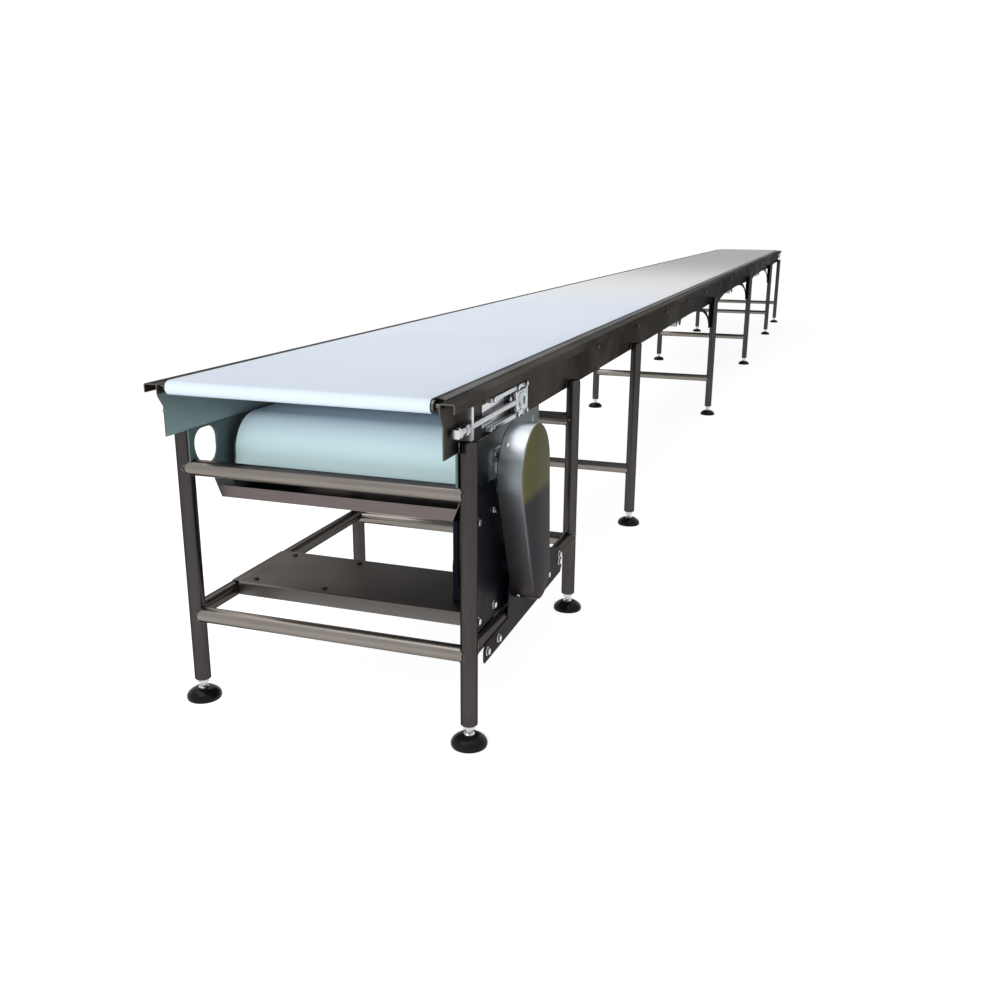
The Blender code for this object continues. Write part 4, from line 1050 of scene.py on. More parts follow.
@dataclass(frozen=True)
class GuardFinish:
    """Guard sheet: brushed, with an olive patch near its top and painted plum shade lower down.

    Its rim has a painted highlight towards the crown, a painted glint band near the top and
    painted shade at its foot.
    """

    name: str
    light: Colour
    dark: Colour
    olive: Colour
    # plum, edge, the rim's highlight tone and glint are painted shade and painted highlights.
    plum: Colour
    edge: Colour
    polished: Colour
    glint: Colour

    def material(self, kit: ShaderKit) -> Material:
        """Build the finish."""
        canvas = Canvas(self.name)
        low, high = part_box("guard_cover")
        line = canvas.group(kit.grain, Stretch=Grain.ALONG_Z.value)
        cloud = canvas.group(kit.clouds, Scale=5.0)
        tone = canvas.mix(line, self.dark, self.light)
        height = high[2] - low[2]
        # Painted shade: the sheet darkens towards plum lower down.
        lower = canvas.ramp_along("Z", high[2] - height * 0.35, low[2] + height * 0.25)
        shaded_low = canvas.mix(canvas.scale(lower, 0.0, 0.75), tone, self.plum)
        # Painted highlight on the rim: light towards the crown with a glint band, painted shade at
        # its foot.
        crown = canvas.ramp_along("Z", high[2] - height * 0.52, high[2] - height * 0.10)
        rim = canvas.ramp_along("X", high[0] - 0.0010, high[0] - 0.0040)
        foot = canvas.ramp_along("Z", low[2] + height * 0.02, low[2] + height * 0.40)
        band = canvas.ramp_along("Z", high[2] - height * 0.160, high[2] - height * 0.120)
        bright = canvas.mix(band, self.polished, self.glint)
        with_rim_light = canvas.mix(
            rim, shaded_low, canvas.mix(crown, canvas.mix(foot, self.plum, self.edge), bright)
        )
        # An olive patch on the upper outer face.
        face = canvas.ramp_along("X", high[0] - 0.0035, high[0] - 0.0015)
        top = canvas.ramp_along("Z", high[2] - height * 0.40, high[2] - height * 0.33)
        olive_patch = canvas.times(face, top, canvas.scale(cloud, 0.75, 1.0))
        finished = canvas.mix(olive_patch, with_rim_light, self.olive)
        canvas.relief(line, 0.3, 0.0001)
        rough = canvas.scale(cloud, 0.27, 0.33)
        return canvas.done(finished, rough, Metallic=0.9, Specular_Tint=(0.35, 0.35, 0.35, 1))


@dataclass(frozen=True)
class WeldFinish:
    """A weld bead: bright ripples with straw and blue heat tints."""

    name: str
    bright: Colour
    tint: Colour

    def material(self, kit: ShaderKit) -> Material:
        """Build the finish."""
        canvas = Canvas(self.name)
        cloud = canvas.group(kit.clouds, Scale=90.0)
        speck = canvas.group(kit.specks, Scale=500.0, Cover=0.5)
        canvas.relief(speck, 0.5, 0.0004)
        return canvas.done(
            canvas.mix(cloud, self.bright, self.tint), canvas.scale(cloud, 0.22, 0.5), Metallic=1.0
        )


class Palette:
    """Every finish on the conveyor."""

    def __init__(self) -> None:
        """Build the shared groups, then the materials."""
        kit = ShaderKit()
        sheet_light, sheet_dark = (0.165, 0.154, 0.142), (0.092, 0.086, 0.079)
        tube_light, tube_dark = (0.082, 0.075, 0.073), (0.036, 0.033, 0.032)
        # The folded sheet darkens towards the far end: painted shade.
        self.sheet = Brushed(
            "folded_sheet", sheet_light, sheet_dark, Grain.ALONG_Y, (0.34, 0.48), edge=0.15,
            far=(0.042, 0.039, 0.039)
        ).material(kit)
        # The bearing plates' teal tint is a painted reflection of the pale belt.
        self.plate = Brushed(
            "bearing_plate_sheet", (0.130, 0.168, 0.170), (0.062, 0.082, 0.084), Grain.ALONG_Z,
            metallic=0.5
        ).material(kit)
        # The webs' inner faces take a lighter teal: painted light reflected from the belt.
        self.lining = Brushed(
            "web_inner_face", (0.370, 0.460, 0.450), (0.210, 0.268, 0.262), Grain.ALONG_Y,
            metallic=0.5
        ).material(kit)
        self.bed = Brushed(
            "slider_bed_sheet", (0.26, 0.26, 0.26), (0.15, 0.15, 0.15), Grain.ALONG_Y
        ).material(kit)
        self.tray = Brushed(
            "tray_sheet", (0.185, 0.172, 0.164), (0.085, 0.079, 0.075), Grain.ALONG_X, (0.30, 0.48)
        ).material(kit)
        self.pan = Brushed(
            "pan_sheet", (0.20, 0.17, 0.165), (0.10, 0.085, 0.082), Grain.ALONG_X, (0.26, 0.42)
        ).material(kit)
        self.upright = Brushed(
            "leg_tube", tube_light, tube_dark, Grain.ALONG_Z, (0.24, 0.38)
        ).material(kit)
        # The cross tubes are the legs' stainless with a much lighter base: a painted reflection.
        self.cross = Brushed(
            "cross_tube", (0.30, 0.272, 0.248), (0.150, 0.134, 0.120), Grain.ALONG_X, (0.20, 0.34)
        ).material(kit)
        self.brace = Brushed(
            "brace_tube", (0.13, 0.12, 0.112), (0.060, 0.055, 0.051), Grain.ALONG_Y, (0.20, 0.34)
        ).material(kit)
        self.weld = WeldFinish(
            "weld_bead", (0.150, 0.142, 0.136), (0.060, 0.054, 0.064)
        ).material(kit)
        self.belt = BeltFinish(
            "belt_face", (0.660, 0.742, 0.850), (0.585, 0.665, 0.765)
        ).material(kit)
        self.belt_edge = BeltFinish(
            "belt_cut_edge", (0.46, 0.50, 0.55), (0.30, 0.32, 0.34), True
        ).material(kit)
        self.roller = Brushed(
            "roller_shell", (0.42, 0.46, 0.48), (0.26, 0.29, 0.31), Grain.NONE, (0.20, 0.34)
        ).material(kit)
        self.shaft = Brushed(
            "ground_shaft", (0.52, 0.53, 0.54), (0.34, 0.35, 0.36), Grain.NONE, (0.14, 0.26)
        ).material(kit)
        self.fixing = Brushed(
            "plain_fixing", (0.17, 0.165, 0.16), (0.09, 0.085, 0.08), Grain.NONE, (0.20, 0.34)
        ).material(kit)
        self.seal = Painted(
            "roller_seal", (0.022, 0.023, 0.025), (0.05, 0.05, 0.05), (0.5, 0.7), coat=0.0
        ).material(kit)
        self.casting = Painted(
            "cast_housing", (0.50, 0.55, 0.58), (0.66, 0.70, 0.72), (0.20, 0.44), 0.75, 0.1, 0.5,
            260.0
        ).material(kit)
        self.zinc = Brushed(
            "zinc_plate", (0.72, 0.73, 0.74), (0.40, 0.41, 0.44), Grain.NONE, (0.12, 0.28), edge=0.9
        ).material(kit)
        self.black = Painted(
            "black_enamel", (0.0050, 0.0055, 0.0095), (0.0095, 0.0105, 0.016), coat=0.0, gloss=0.03
        ).material(kit)
        self.lid = Painted(
            "black_lid", (0.014, 0.015, 0.019), (0.026, 0.027, 0.031), (0.38, 0.55)
        ).material(kit)
        self.foot = Painted(
            "moulded_foot", (0.0050, 0.0050, 0.0055), (0.012, 0.012, 0.013), (0.12, 0.26),
            coat=0.03, gloss=0.10
        ).material(kit)
        self.chain = Brushed(
            "oiled_chain", (0.20, 0.18, 0.15), (0.07, 0.06, 0.05), Grain.NONE, (0.25, 0.45)
        ).material(kit)
        # The guard's plum, edge, highlight and glint tones are painted shade and painted highlights.
        self.guard = GuardFinish(
            "guard_sheet", (0.072, 0.072, 0.078), (0.040, 0.041, 0.046), (0.150, 0.145, 0.062),
            (0.052, 0.044, 0.050), (0.130, 0.130, 0.140), (0.250, 0.285, 0.305), (0.42, 0.46, 0.49),
        ).material(kit)
        self.backplate = Brushed(
            "guard_backplate_sheet", (0.090, 0.084, 0.090), (0.050, 0.046, 0.050), Grain.ALONG_Z
        ).material(kit)


# ---- Belt and rollers ----------------------------------------------------------------


def place_of(node: str) -> Vector:
    """The centre of a packed wheel, brought onto the belt's centre line."""
    middle = middle_of(node)
    return Vector((LAYOUT.centre_x, middle.y, middle.z))


def belt_round(node: str, radius: float, turn: int) -> Wheel:
    """The circle of the belt's middle line round the flats of a packed wheel."""
    middle = place_of(node)
    return Wheel(middle.y, middle.z, (radius + RUN_GAP) / cos(HALF_FACET) + BELT_SHEET / 2, turn)


@dataclass(frozen=True)
class Roller:
    """A roller that the belt runs on, turned from a tube with bearing seals in its ends."""

    name: str
    node: str
    radius: float
    turn: int = 1
    axle: float = 0.010
    half: float = 0.306
    axle_half: float = 0.3212
    wall: float = 0.004
    recess: float = 0.005
    chamfer: float = 0.0012
    dull: bool = False

    def end(self) -> Outline:
        """The profile of one end, from the axle's tip to the rim."""
        floor, bore, bevel = self.half - self.recess, self.radius - self.wall, self.chamfer
        return [
            (0, self.axle_half), (self.axle - bevel / 2, self.axle_half),
            (self.axle, self.axle_half - bevel / 2), (self.axle, floor), (bore, floor),
            (bore, self.half - bevel / 2), (bore + bevel / 2, self.half),
            (self.radius - bevel, self.half), (self.radius, self.half - bevel),
        ]

    def build(self, palette: Palette) -> Object:
        """Turn the roller and fit its seals."""
        shape = Shape(self.name, self.node)
        centre = place_of(self.node)
        end = self.end()
        profile = end + [(radius, -reach) for radius, reach in reversed(end)]
        shape.turned(
            profile, centre, X_AXIS, palette.fixing if self.dull else palette.roller, ROUND_SEGMENTS
        )
        bore, floor = self.radius - self.wall, self.half - self.recess
        for way in BOTH_WAYS:
            if bore - self.axle > 0.008:
                seal = [
                    (self.axle + 0.0004, floor - 0.001), (bore - 0.0015, floor - 0.001),
                    (bore - 0.0015, floor + 0.002), (bore - 0.003, floor + 0.003),
                    (self.axle + 0.003, floor + 0.0015), (self.axle + 0.0004, floor + 0.0015),
                ]
                shape.turned(seal, centre, X_AXIS * way, palette.seal, ROUND_SEGMENTS, True)
        return shape.finish(self.node, slot="roller")


@dataclass(frozen=True)
class Drum:
    """A drum of a shell on two end discs, with relief holes and a keyed through shaft."""

    name: str
    node: str
    radius: float
    shaft: float
    half: float
    reach: tuple[float, float]
    holes: int
    hole_radius: float
    turn: int = 1
    shell: float = 0.006
    disc: float = 0.010
    recess: float = 0.012
    bead: float = 0.0018
    edge: float = 0.0015
    chamfer: float = 0.0012

    def build(self, palette: Palette) -> Object:
        """Build the shell, the discs with their holes, the welds and the shaft."""
        shape = Shape(self.name, self.node)
        centre = place_of(self.node)
        inner = self.radius - self.shell
        edge = self.edge
        shell = []
        for way in (1, -1):
            side = [
                (inner, way * (self.half - edge)), (inner + edge, way * self.half),
                (self.radius - edge, way * self.half), (self.radius, way * (self.half - edge)),
            ]
            shell += side if way > 0 else side[::-1]
        shape.turned(shell, centre, X_AXIS, palette.roller, ROUND_SEGMENTS, True)
        spacing = (inner + self.shaft) / 2
        openings = []
        for i in range(self.holes):
            angle = tau * (i + 0.5) / self.holes
            middle = (centre.y + spacing * cos(angle), centre.z - spacing * sin(angle))
            openings.append(circle(*middle, self.hole_radius, 28))
        outline = circle(centre.y, centre.z, inner + 0.0005, ROUND_SEGMENTS)
        for way in BOTH_WAYS:
            near, far = self.half - self.recess - self.disc, self.half - self.recess
            low, high = sorted((LAYOUT.centre_x + way * near, LAYOUT.centre_x + way * far))
            shape.prism(outline, low, high, Plane.YZ, palette.roller, openings)
            for radius in (inner - 0.0008, self.shaft + 0.0012):
                seat = LAYOUT.centre_x + way * far
                path = [Vector((seat, y, z)) for y, z in circle(centre.y, centre.z, radius, 64)]
                shape.bead(path, self.bead, palette.weld)
        low, high = self.reach
        shape.turned(
            rod(self.shaft, low, high, self.chamfer), centre, X_AXIS, palette.shaft, SHAFT_SEGMENTS
        )
        key_end = LAYOUT.centre_x + high
        shape.box(
            (key_end - 0.030, centre.y - 0.004, centre.z + self.shaft - 0.004),
            (key_end - 0.006, centre.y + 0.004, centre.z + self.shaft + 0.0020), palette.chain,
            0.0006,
        )
        return shape.finish(self.node, slot="roller")


@dataclass(frozen=True)
class Belt:
    """The endless belt and the rollers that it goes round, in the order that it meets them."""

    half: float = 0.300
    edge: float = 0.0009
    lanes: int = 12

    rollers: tuple[Roller | Drum, ...] = (
        Roller(
            "nose_idler", "nose_roller", 0.012, axle=0.0045, wall=0.0025, recess=0.003, dull=True
        ),
        Roller("tension_idler", "tension_roller", 0.0445, -1, axle_half=0.3418),
        Drum("drum_body", "drive_drum", 0.084, 0.015, 0.309, (-0.3498, 0.4065), 5, 0.016),
        Roller("snub_idler", "snub_roller", 0.0445, -1),
        Drum("tail_body", "tail_drum", 0.0495, 0.0125, 0.306, (-0.3458, 0.3458), 3, 0.009),
    )
    carriers: tuple[Roller, ...] = (
        Roller("return_idler_1", "return_roller_1", 0.025),
        Roller("return_idler_2", "return_roller_2", 0.025),
        Roller("return_idler_3", "return_roller_3", 0.025),
    )

    def section(self) -> list[tuple[float, float]]:
        """The belt's cut: (distance from the centre line, distance out from its middle)."""
        out, soft = BELT_SHEET / 2, self.edge
        across = [
            self.half - soft - (self.half - soft) * 2 * i / self.lanes
            for i in range(self.lanes + 1)
        ]
        face = [(x, out) for x in across]
        back = [(x, -out) for x in reversed(across)]
        left = [
            (-self.half + soft * 0.3, out - soft * 0.3), (-self.half, out - soft),
            (-self.half, soft - out), (-self.half + soft * 0.3, soft * 0.3 - out)
        ]
        right = [(-x, o) for x, o in reversed(left)]
        return face + left + back + right

    def build(self, palette: Palette) -> None:
        """Build every roller, then the belt round them."""
        for roller in (*self.rollers, *self.carriers):
            roller.build(palette)
        section = self.section()
        rings = []
        wheels = [belt_round(roller.node, roller.radius, roller.turn) for roller in self.rollers]
        for y, z, heading in wrap(wheels, LOOP_STEP):
            away = Vector((0, sin(heading), -cos(heading)))
            rings.append([Vector((LAYOUT.centre_x + x, y, z)) + away * out for x, out in section])
        shape = Shape("endless_belt")
        shape.skin(rings, palette.belt, True)
        shape.repaint(palette.belt_edge, lambda face: abs(face.normal.x) > 0.5)
        shape.finish("belt", slot="belt")


# ---- Side channels, bed and bearing plates -------------------------------------------


@dataclass(frozen=True)
class Channels:
    """The two long folded channels: webs with arched gussets, and outward flanges.

    nose_cut is the set-back of the web's nose and the heights where it starts and ends. ear is
    the half width, taper and cover of the ear round a return roller's axle. gusset is a gusset's
    depth below the web, its reach along it and its flat half width at the leg.
    """

    length: float = 10.080
    web: tuple[float, float] = (0.3185, 0.3215)
    sheet: float = 0.003
    rail_half: float = 0.352
    flange_top: float = 0.778
    lip: float = 0.020
    seam: float = 0.756
    bottom: float = 0.661
    tip: float = 0.001
    nose_cut: tuple[float, float, float] = (0.018, 0.752, 0.727)
    ear: tuple[float, float, float] = (0.020, 0.035, 0.018)
    gussets_at: tuple[float, ...] = (4.160, 6.400, 8.650)
    gusset: tuple[float, float, float] = (0.150, 0.850, 0.050)
    rim: float = 0.020
    post: float = 0.075
    bolt_step: float = 0.640
    bolt_z: float = 0.735
    bolt: float = 0.0075
    first_bolt: float = 1.30
    bolt_margin: float = 1.6

    def arch(self, y: float, way: int, low: float, top: float) -> Outline:
        """A quarter ellipse from beside a leg out to the web's edge."""
        _, reach, flat = self.gusset
        points = []
        for step in range(17):
            angle = pi / 2 * step / 16
            along = flat + (reach - flat) * (1 - cos(angle))
            points.append((y + way * along, low + (top - low) * sin(angle)))
        return points

    def opening(self, y: float, way: int) -> Outline:
        """The opening between a gusset's arch and the web above it."""
        curve = self.arch(y, way, self.bottom - self.gusset[0] + self.rim, self.bottom + self.rim)
        top, post = self.bottom - self.rim / 2, y + way * self.post
        inside = [point for point in curve if point[1] < top and (point[0] - post) * way > 0]
        return [
            (post, top), (post, inside[0][1]), *inside, (inside[-1][0] + way * self.rim * 2, top)
        ]

    def outline(self) -> Outline:
        """The web's edge below the seam of its flange."""
        drops = []
        for y in self.gussets_at:
            low = self.bottom - self.gusset[0]
            drops.append(
                self.arch(y, -1, low, self.bottom)[::-1] + self.arch(y, 1, low, self.bottom)
            )
        half, taper, cover = self.ear
        for number in (1, 2, 3):
            roller = middle_of(f"return_roller_{number}")
            y, low = roller.y - LAYOUT.nose_y, roller.z - cover
            round_ear = [
                (y + half * cos(a), low + half * 0.35 * (1 + sin(a)))
                for a in (pi * (1 + i / 8) for i in range(9))
            ]
            drops.append([(y - taper, self.bottom), *round_ear, (y + taper, self.bottom)])
        back, cut_top, cut_low = self.nose_cut
        outline = [(self.tip, self.seam), (self.tip, cut_top), (back, cut_low), (back, self.bottom)]
        for drop in sorted(drops):
            outline += drop
        return outline + [
            (self.length - self.tip, self.bottom), (self.length - self.tip, self.seam)
        ]

    def holes(self) -> list[Outline]:
        """The bores, the take-up slots and the gussets' openings, in the row frame."""
        bores = [
            ("nose_roller", 0.0050), ("tail_drum", 0.0131),
            *((f"return_roller_{n}", 0.0105) for n in (1, 2, 3))
        ]
        found = [circle(middle_of(node).y, middle_of(node).z, radius) for node, radius in bores]
        tension = middle_of("tension_roller")
        low, high = (tension.y - 0.0557, tension.z - 0.0106), (
            tension.y + 0.0109, tension.z + 0.0106
        )
        found.append(rounded_box(low, high, (0.0104,) * 4))
        for y in self.gussets_at:
            found += [LAYOUT.outline_yz(self.opening(y, way)) for way in BOTH_WAYS]
        return found

    def build(self, palette: Palette, repeat: Repeaters) -> None:
        """Build both channels with their folded flanges and their rows of bed bolts."""
        middle = sum(self.web) / 2
        level = self.flange_top - self.sheet / 2
        edge = self.rail_half - self.sheet / 2
        fold = [
            (middle, self.seam), (middle, level), (edge, level), (edge, self.flange_top - self.lip)
        ]
        section = folded(fold, self.sheet, 0.0035)
        outline, holes = LAYOUT.outline_yz(self.outline()), self.holes()
        for side in Side:
            shape = Shape(f"channel_{side.word}")
            low, high = LAYOUT.span(side, *self.web)
            shape.prism(outline, low, high, Plane.YZ, palette.sheet, holes)
            # Painted light: the webs' inner faces get the lighter teal.
            shape.repaint(palette.lining, lambda face: face.normal.x * side.value < -0.9)
            placed = LAYOUT.outline_xz(section, side)
            shape.prism(placed, LAYOUT.nose_y, LAYOUT.nose_y + self.length, Plane.XZ, palette.sheet)
            bolt = Shape("bed_bolt").bolt(
                (LAYOUT.x(side, self.web[1]), LAYOUT.nose_y + self.first_bolt, self.bolt_z),
                X_AXIS * side.value, self.bolt, palette.fixing,
            )
            count = int((self.length - self.bolt_margin) / self.bolt_step)
            repeat.add_row(shape, bolt, palette.fixing, count, (0, self.bolt_step, 0))
            shape.finish(f"side_frame_{side.word}", slot="stainless")


@dataclass(frozen=True)
class Bed:
    """The sheet that the belt slides on, folded down along both edges."""

    half: float = 0.3182
    sheet: float = 0.0025
    lip: float = 0.022

    def build(self, palette: Palette) -> None:
        """Fold the bed."""
        low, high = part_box("slider_bed")
        level = high.z - self.sheet / 2
        edge = self.half - self.sheet / 2
        path = [
            (-edge, high.z - self.lip), (-edge, level), (edge, level), (edge, high.z - self.lip)
        ]
        section = [(LAYOUT.centre_x + x, z) for x, z in folded(path, self.sheet, 0.003)]
        shape = Shape("bed_sheet")
        shape.prism(section, low.y, high.y, Plane.XZ, palette.bed)
        shape.finish("slider_bed", slot="stainless")


@dataclass(frozen=True)
class BearingPlates:
    """The plates under the webs that carry the drum and the snub roller.

    tube is the y, z and radius of the cross tube that the front edge is cut round. hand_hole is the
    opening's front, back, bottom and top.
    """

    span: tuple[float, float] = (0.3165, 0.3215)
    front: float = 0.0925
    top: float = 0.6607
    drop: float = 0.550
    step: float = 0.240
    low: float = 0.4773
    low_back: float = 0.560
    back: tuple[float, float] = (0.670, 0.602)
    tube: tuple[float, float, float] = (0.105, 0.573, 0.0192)
    hand_hole: tuple[float, float, float, float] = (0.110, 0.196, 0.571, 0.657)
    welds: tuple[float, ...] = (0.100, 0.215, 0.520)
    bead: float = 0.0019
    bolt: float = 0.0085
    bolt_square: float = 0.037

    def outline(self) -> Outline:
        """The plate's edge, cut round the upper cross tube."""
        y, z, radius = self.tube
        arc = [
            (y + radius * cos(a), z + radius * sin(a))
            for a in (pi / 2 - pi / 2 * i / 8 for i in range(9))
        ]
        start = acos((self.front - y) / radius)
        lead = [
            (y + radius * cos(a), z + radius * sin(a))
            for a in (start + (pi / 2 - start) * i / 5 for i in range(5))
        ]
        corner = 0.010
        ease = [(self.low_back - corner, self.low), (self.low_back, self.low + corner * 0.2)]
        return [
            (self.front, self.top), *lead, *arc, (y + radius, self.drop),
            (self.step - corner, self.drop), (self.step, self.drop - corner), (self.step, self.low),
            *ease, self.back, (self.back[0], self.top),
        ]

    def build(self, palette: Palette) -> None:
        """Build both plates with their welds to the webs."""
        front, back, low, high = self.hand_hole
        hand = rounded_box((front, low), (back, high), (0.032, 0.032, 0.052, 0.032))
        drum, snub = middle_of("drive_drum"), middle_of("snub_roller")
        holes = [
            LAYOUT.outline_yz(hand), circle(drum.y, drum.z, 0.0158), circle(snub.y, snub.z, 0.0105)
        ]
        for side in Side:
            shape = Shape(f"cheek_plate_{side.word}")
            near, far = LAYOUT.span(side, *self.span)
            shape.prism(
                LAYOUT.outline_yz(self.outline()), near, far, Plane.YZ, palette.plate, holes
            )
            for start in self.welds:
                path = [
                    LAYOUT.at(side.value * (self.span[1] + 0.0002), start + 0.004 * i, self.top)
                    for i in range(18)
                ]
                shape.bead(path, self.bead, palette.weld, False)
            x, square = LAYOUT.x(side, self.span[0]), self.bolt_square
            for across, up in CORNERS:
                seat = (x, drum.y + across * square, drum.z + up * square)
                shape.bolt(seat, X_AXIS * -side.value, self.bolt, palette.zinc, False)
            shape.finish(f"bearing_plate_{side.word}", slot="stainless")


# ---- Bearings and take-ups -----------------------------------------------------------


@dataclass(frozen=True)
class FlangeBearing:
    """A cast square flange with a domed boss, four bolts, a collar and a grease nipple."""

    name: str
    node: str
    wheel: str
    side: Side
    size: float
    boss: float
    depth: float
    shaft: float
    flange: float = 0.013
    start: float = WEB_FACE

    def build(self, palette: Palette) -> None:
        """Cast the housing and fit its hardware."""
        shape = Shape(self.name)
        middle = place_of(self.wheel)
        half, soft = self.size / 2, 0.0015
        face = LAYOUT.x(self.side, self.start)
        out = X_AXIS * self.side.value
        seat = Vector((face, middle.y, middle.z))
        bore = self.shaft + 0.0004
        rings = []
        for inset, reach in (
            (0.0, 0.0), (0.0, self.flange * 0.75), (soft, self.flange * 0.75 + soft),
            (soft * 3, self.flange * 0.86)
        ):
            box = rounded_box(
                (middle.y - half + inset, middle.z - half + inset),
                (middle.y + half - inset, middle.z + half - inset), (self.size / 6,) * 4,
            )
            rings.append([Vector((face + self.side.value * reach, y, z)) for y, z in box])
        shape.skin(rings, palette.casting)
        crown = self.depth - 0.001
        dome = [(bore, 0.002), (self.boss, 0.002), (self.boss, self.flange)]
        dome += [
            (
                self.boss - (self.boss - bore - 0.012) * (1 - cos(a)),
                self.flange + (crown - self.flange - 0.002) * sin(a)
            )
            for a in (pi / 2 * i / 8 for i in range(1, 9))
        ]
        dome += [(bore, crown - 0.002)]
        shape.turned(dome, seat, out, palette.casting, 48, True)
        collar = [
            (bore, crown - 0.006), (bore + 0.008, crown - 0.006), (bore + 0.008, crown),
            (bore + 0.007, crown + 0.001), (bore, crown + 0.001)
        ]
        shape.turned(collar, seat, out, palette.shaft, SHAFT_SEGMENTS, True)
        for across, up in CORNERS:
            spot = Vector((
                self.side.value * self.flange * 0.86, across * half * 0.74, up * half * 0.74
            ))
            shape.bolt(seat + spot, out, half * 0.16, palette.zinc)
        nipple = seat + Vector((
            self.side.value * (self.flange + 0.004), -self.boss * 0.60, self.boss * 0.60
        ))
        lean = Vector((0, -1, 1)).normalized()
        shape.turned(
            [
                (0, 0), (0.0032, 0), (0.0032, 0.004), (0.0018, 0.0055), (0.0018, 0.008),
                (0.0026, 0.009), (0.0012, 0.011), (0, 0.011)
            ],
            nipple, lean, palette.zinc, 16,
        )
        shape.finish(self.node, slot="casting")


@dataclass(frozen=True)
class TakeUps:
    """The sliding bearings of the tension roller, each with its screw and its screw's bracket."""

    start: float = WEB_FACE
    block_depth: float = 0.026
    screw_out: float = 0.014
    screw: float = 0.007
    head: tuple[float, float] = (0.012, 0.010)
    pitch: float = 0.0020
    ridge: float = 0.0006
    rail: float = 0.016
    rail_ends: tuple[float, float] = (0.205, 0.058)
    rail_edges: tuple[float, float] = (0.0262, 0.0372)
    rail_bolt: float = 0.0058
    cover: float = 0.0022
    cover_half: float = 0.0255

    def build(self, palette: Palette, repeat: Repeaters) -> None:
        """Build the bearing, the screw and the bracket of each side."""
        for side in Side:
            self.build_guides(side, palette)
            self.build_block(side, palette)
            self.build_screw(side, palette, repeat)
            self.build_bracket(side, palette)

    def build_guides(self, side: Side, palette: Palette) -> None:
        """The rails that the bearing slides between, joined at the back, and their cover."""
        shape = Shape(f"bearing_guides_{side.word}")
        middle = place_of("tension_roller")
        front, back = middle.y - self.rail_ends[0], middle.y + self.rail_ends[1]
        near, far = LAYOUT.span(side, self.start, self.start + self.rail)
        for up in BOTH_WAYS:
            low, high = sorted(middle.z + up * edge for edge in self.rail_edges)
            shape.box((near, front, low), (far, back, high), palette.casting, 0.002)
            for y in (front + 0.012, middle.y - 0.020, back - 0.012):
                shape.bolt(
                    (LAYOUT.x(side, self.start + self.rail), y, (low + high) / 2),
                    X_AXIS * side.value, self.rail_bolt, palette.zinc, False
                )
        shape.box(
            (near, back - 0.010, middle.z - 0.030), (far, back, middle.z + 0.030), palette.casting,
            0.002
        )
        near, far = LAYOUT.span(side, self.start, self.start + self.cover)
        shape.box(
            (near, front - 0.022, middle.z - self.cover_half),
            (far, middle.y - 0.083, middle.z + self.cover_half), palette.zinc, 0.0008,
        )
        shape.finish(slot="casting")

    def build_block(self, side: Side, palette: Palette) -> None:
        """A cast block with a round boss, guide grooves and a grease nipple."""
        node = f"takeup_block_{side.word}"
        shape = Shape(f"sliding_bearing_{side.word}", "takeup_carriage")
        low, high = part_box(node)
        middle = place_of("tension_roller")
        out = X_AXIS * side.value
        depth = self.block_depth * 0.72
        near, far = LAYOUT.span(side, self.start, self.start + depth)
        shape.box((near, low.y, low.z), (far, high.y, high.z), palette.zinc, 0.003)
        seat = Vector((LAYOUT.x(side, self.start + depth - 0.001), middle.y, middle.z))
        rise = self.block_depth - depth + 0.001
        boss = [
            (0.0105, 0), (0.0225, 0), (0.0215, rise * 0.5), (0.0185, rise * 0.9), (0.0175, rise),
            (0.0125, rise), (0.0105, rise * 0.8)
        ]
        shape.turned(boss, seat, out, palette.casting, SHAFT_SEGMENTS, True)
        for up in BOTH_WAYS:
            rib_low = min(middle.z + up * 0.0245, middle.z + up * 0.0205)
            near_x, far_x = sorted((seat.x - side.value * 0.002, seat.x + side.value * 0.0035))
            shape.box(
                (near_x, low.y + 0.002, rib_low), (far_x, high.y - 0.002, rib_low + 0.004),
                palette.casting, 0.001
            )
        shape.turned(
            [(0, 0), (0.0030, 0), (0.0030, 0.003), (0.0017, 0.0045), (0.0024, 0.006), (0, 0.007)],
            seat + Vector((0, 0.027, 0)), out, palette.zinc, 14,
        )
        shape.finish(node, slot="casting")

    def build_screw(self, side: Side, palette: Palette, repeat: Repeaters) -> None:
        """The adjusting screw: a hexagon head, a collar and a rolled thread."""
        node = f"takeup_screw_{side.word}"
        low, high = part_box(node)
        middle = place_of("tension_roller")
        start = Vector((LAYOUT.x(side, self.start + self.screw_out), low.y, middle.z))
        length = high.y - low.y
        radius, depth = self.head
        core = self.screw - self.ridge
        threaded = repeat.threaded(core, length - depth, self.pitch, self.ridge, palette.zinc)
        shape = Shape(f"adjusting_screw_{side.word}", node)
        tip = Matrix.Translation(start + Vector((0, depth, 0)))
        shape.add_mesh(threaded, palette.zinc, tip @ Matrix.Rotation(-pi / 2, 4, "X"))
        shape.turned(
            [
                (0, 0), (radius * 0.84, 0), (radius, 0.0015), (radius, depth - 0.001),
                (radius * 0.9, depth), (0, depth)
            ],
            start, Y_AXIS, palette.zinc, 6,
        )
        shape.turned(
            [
                (0, depth), (0.0098, depth), (0.0118, depth + 0.001), (0.0118, depth + 0.002),
                (0, depth + 0.002)
            ],
            start, Y_AXIS, palette.zinc, 32
        )
        shape.finish(node, slot="zinc")

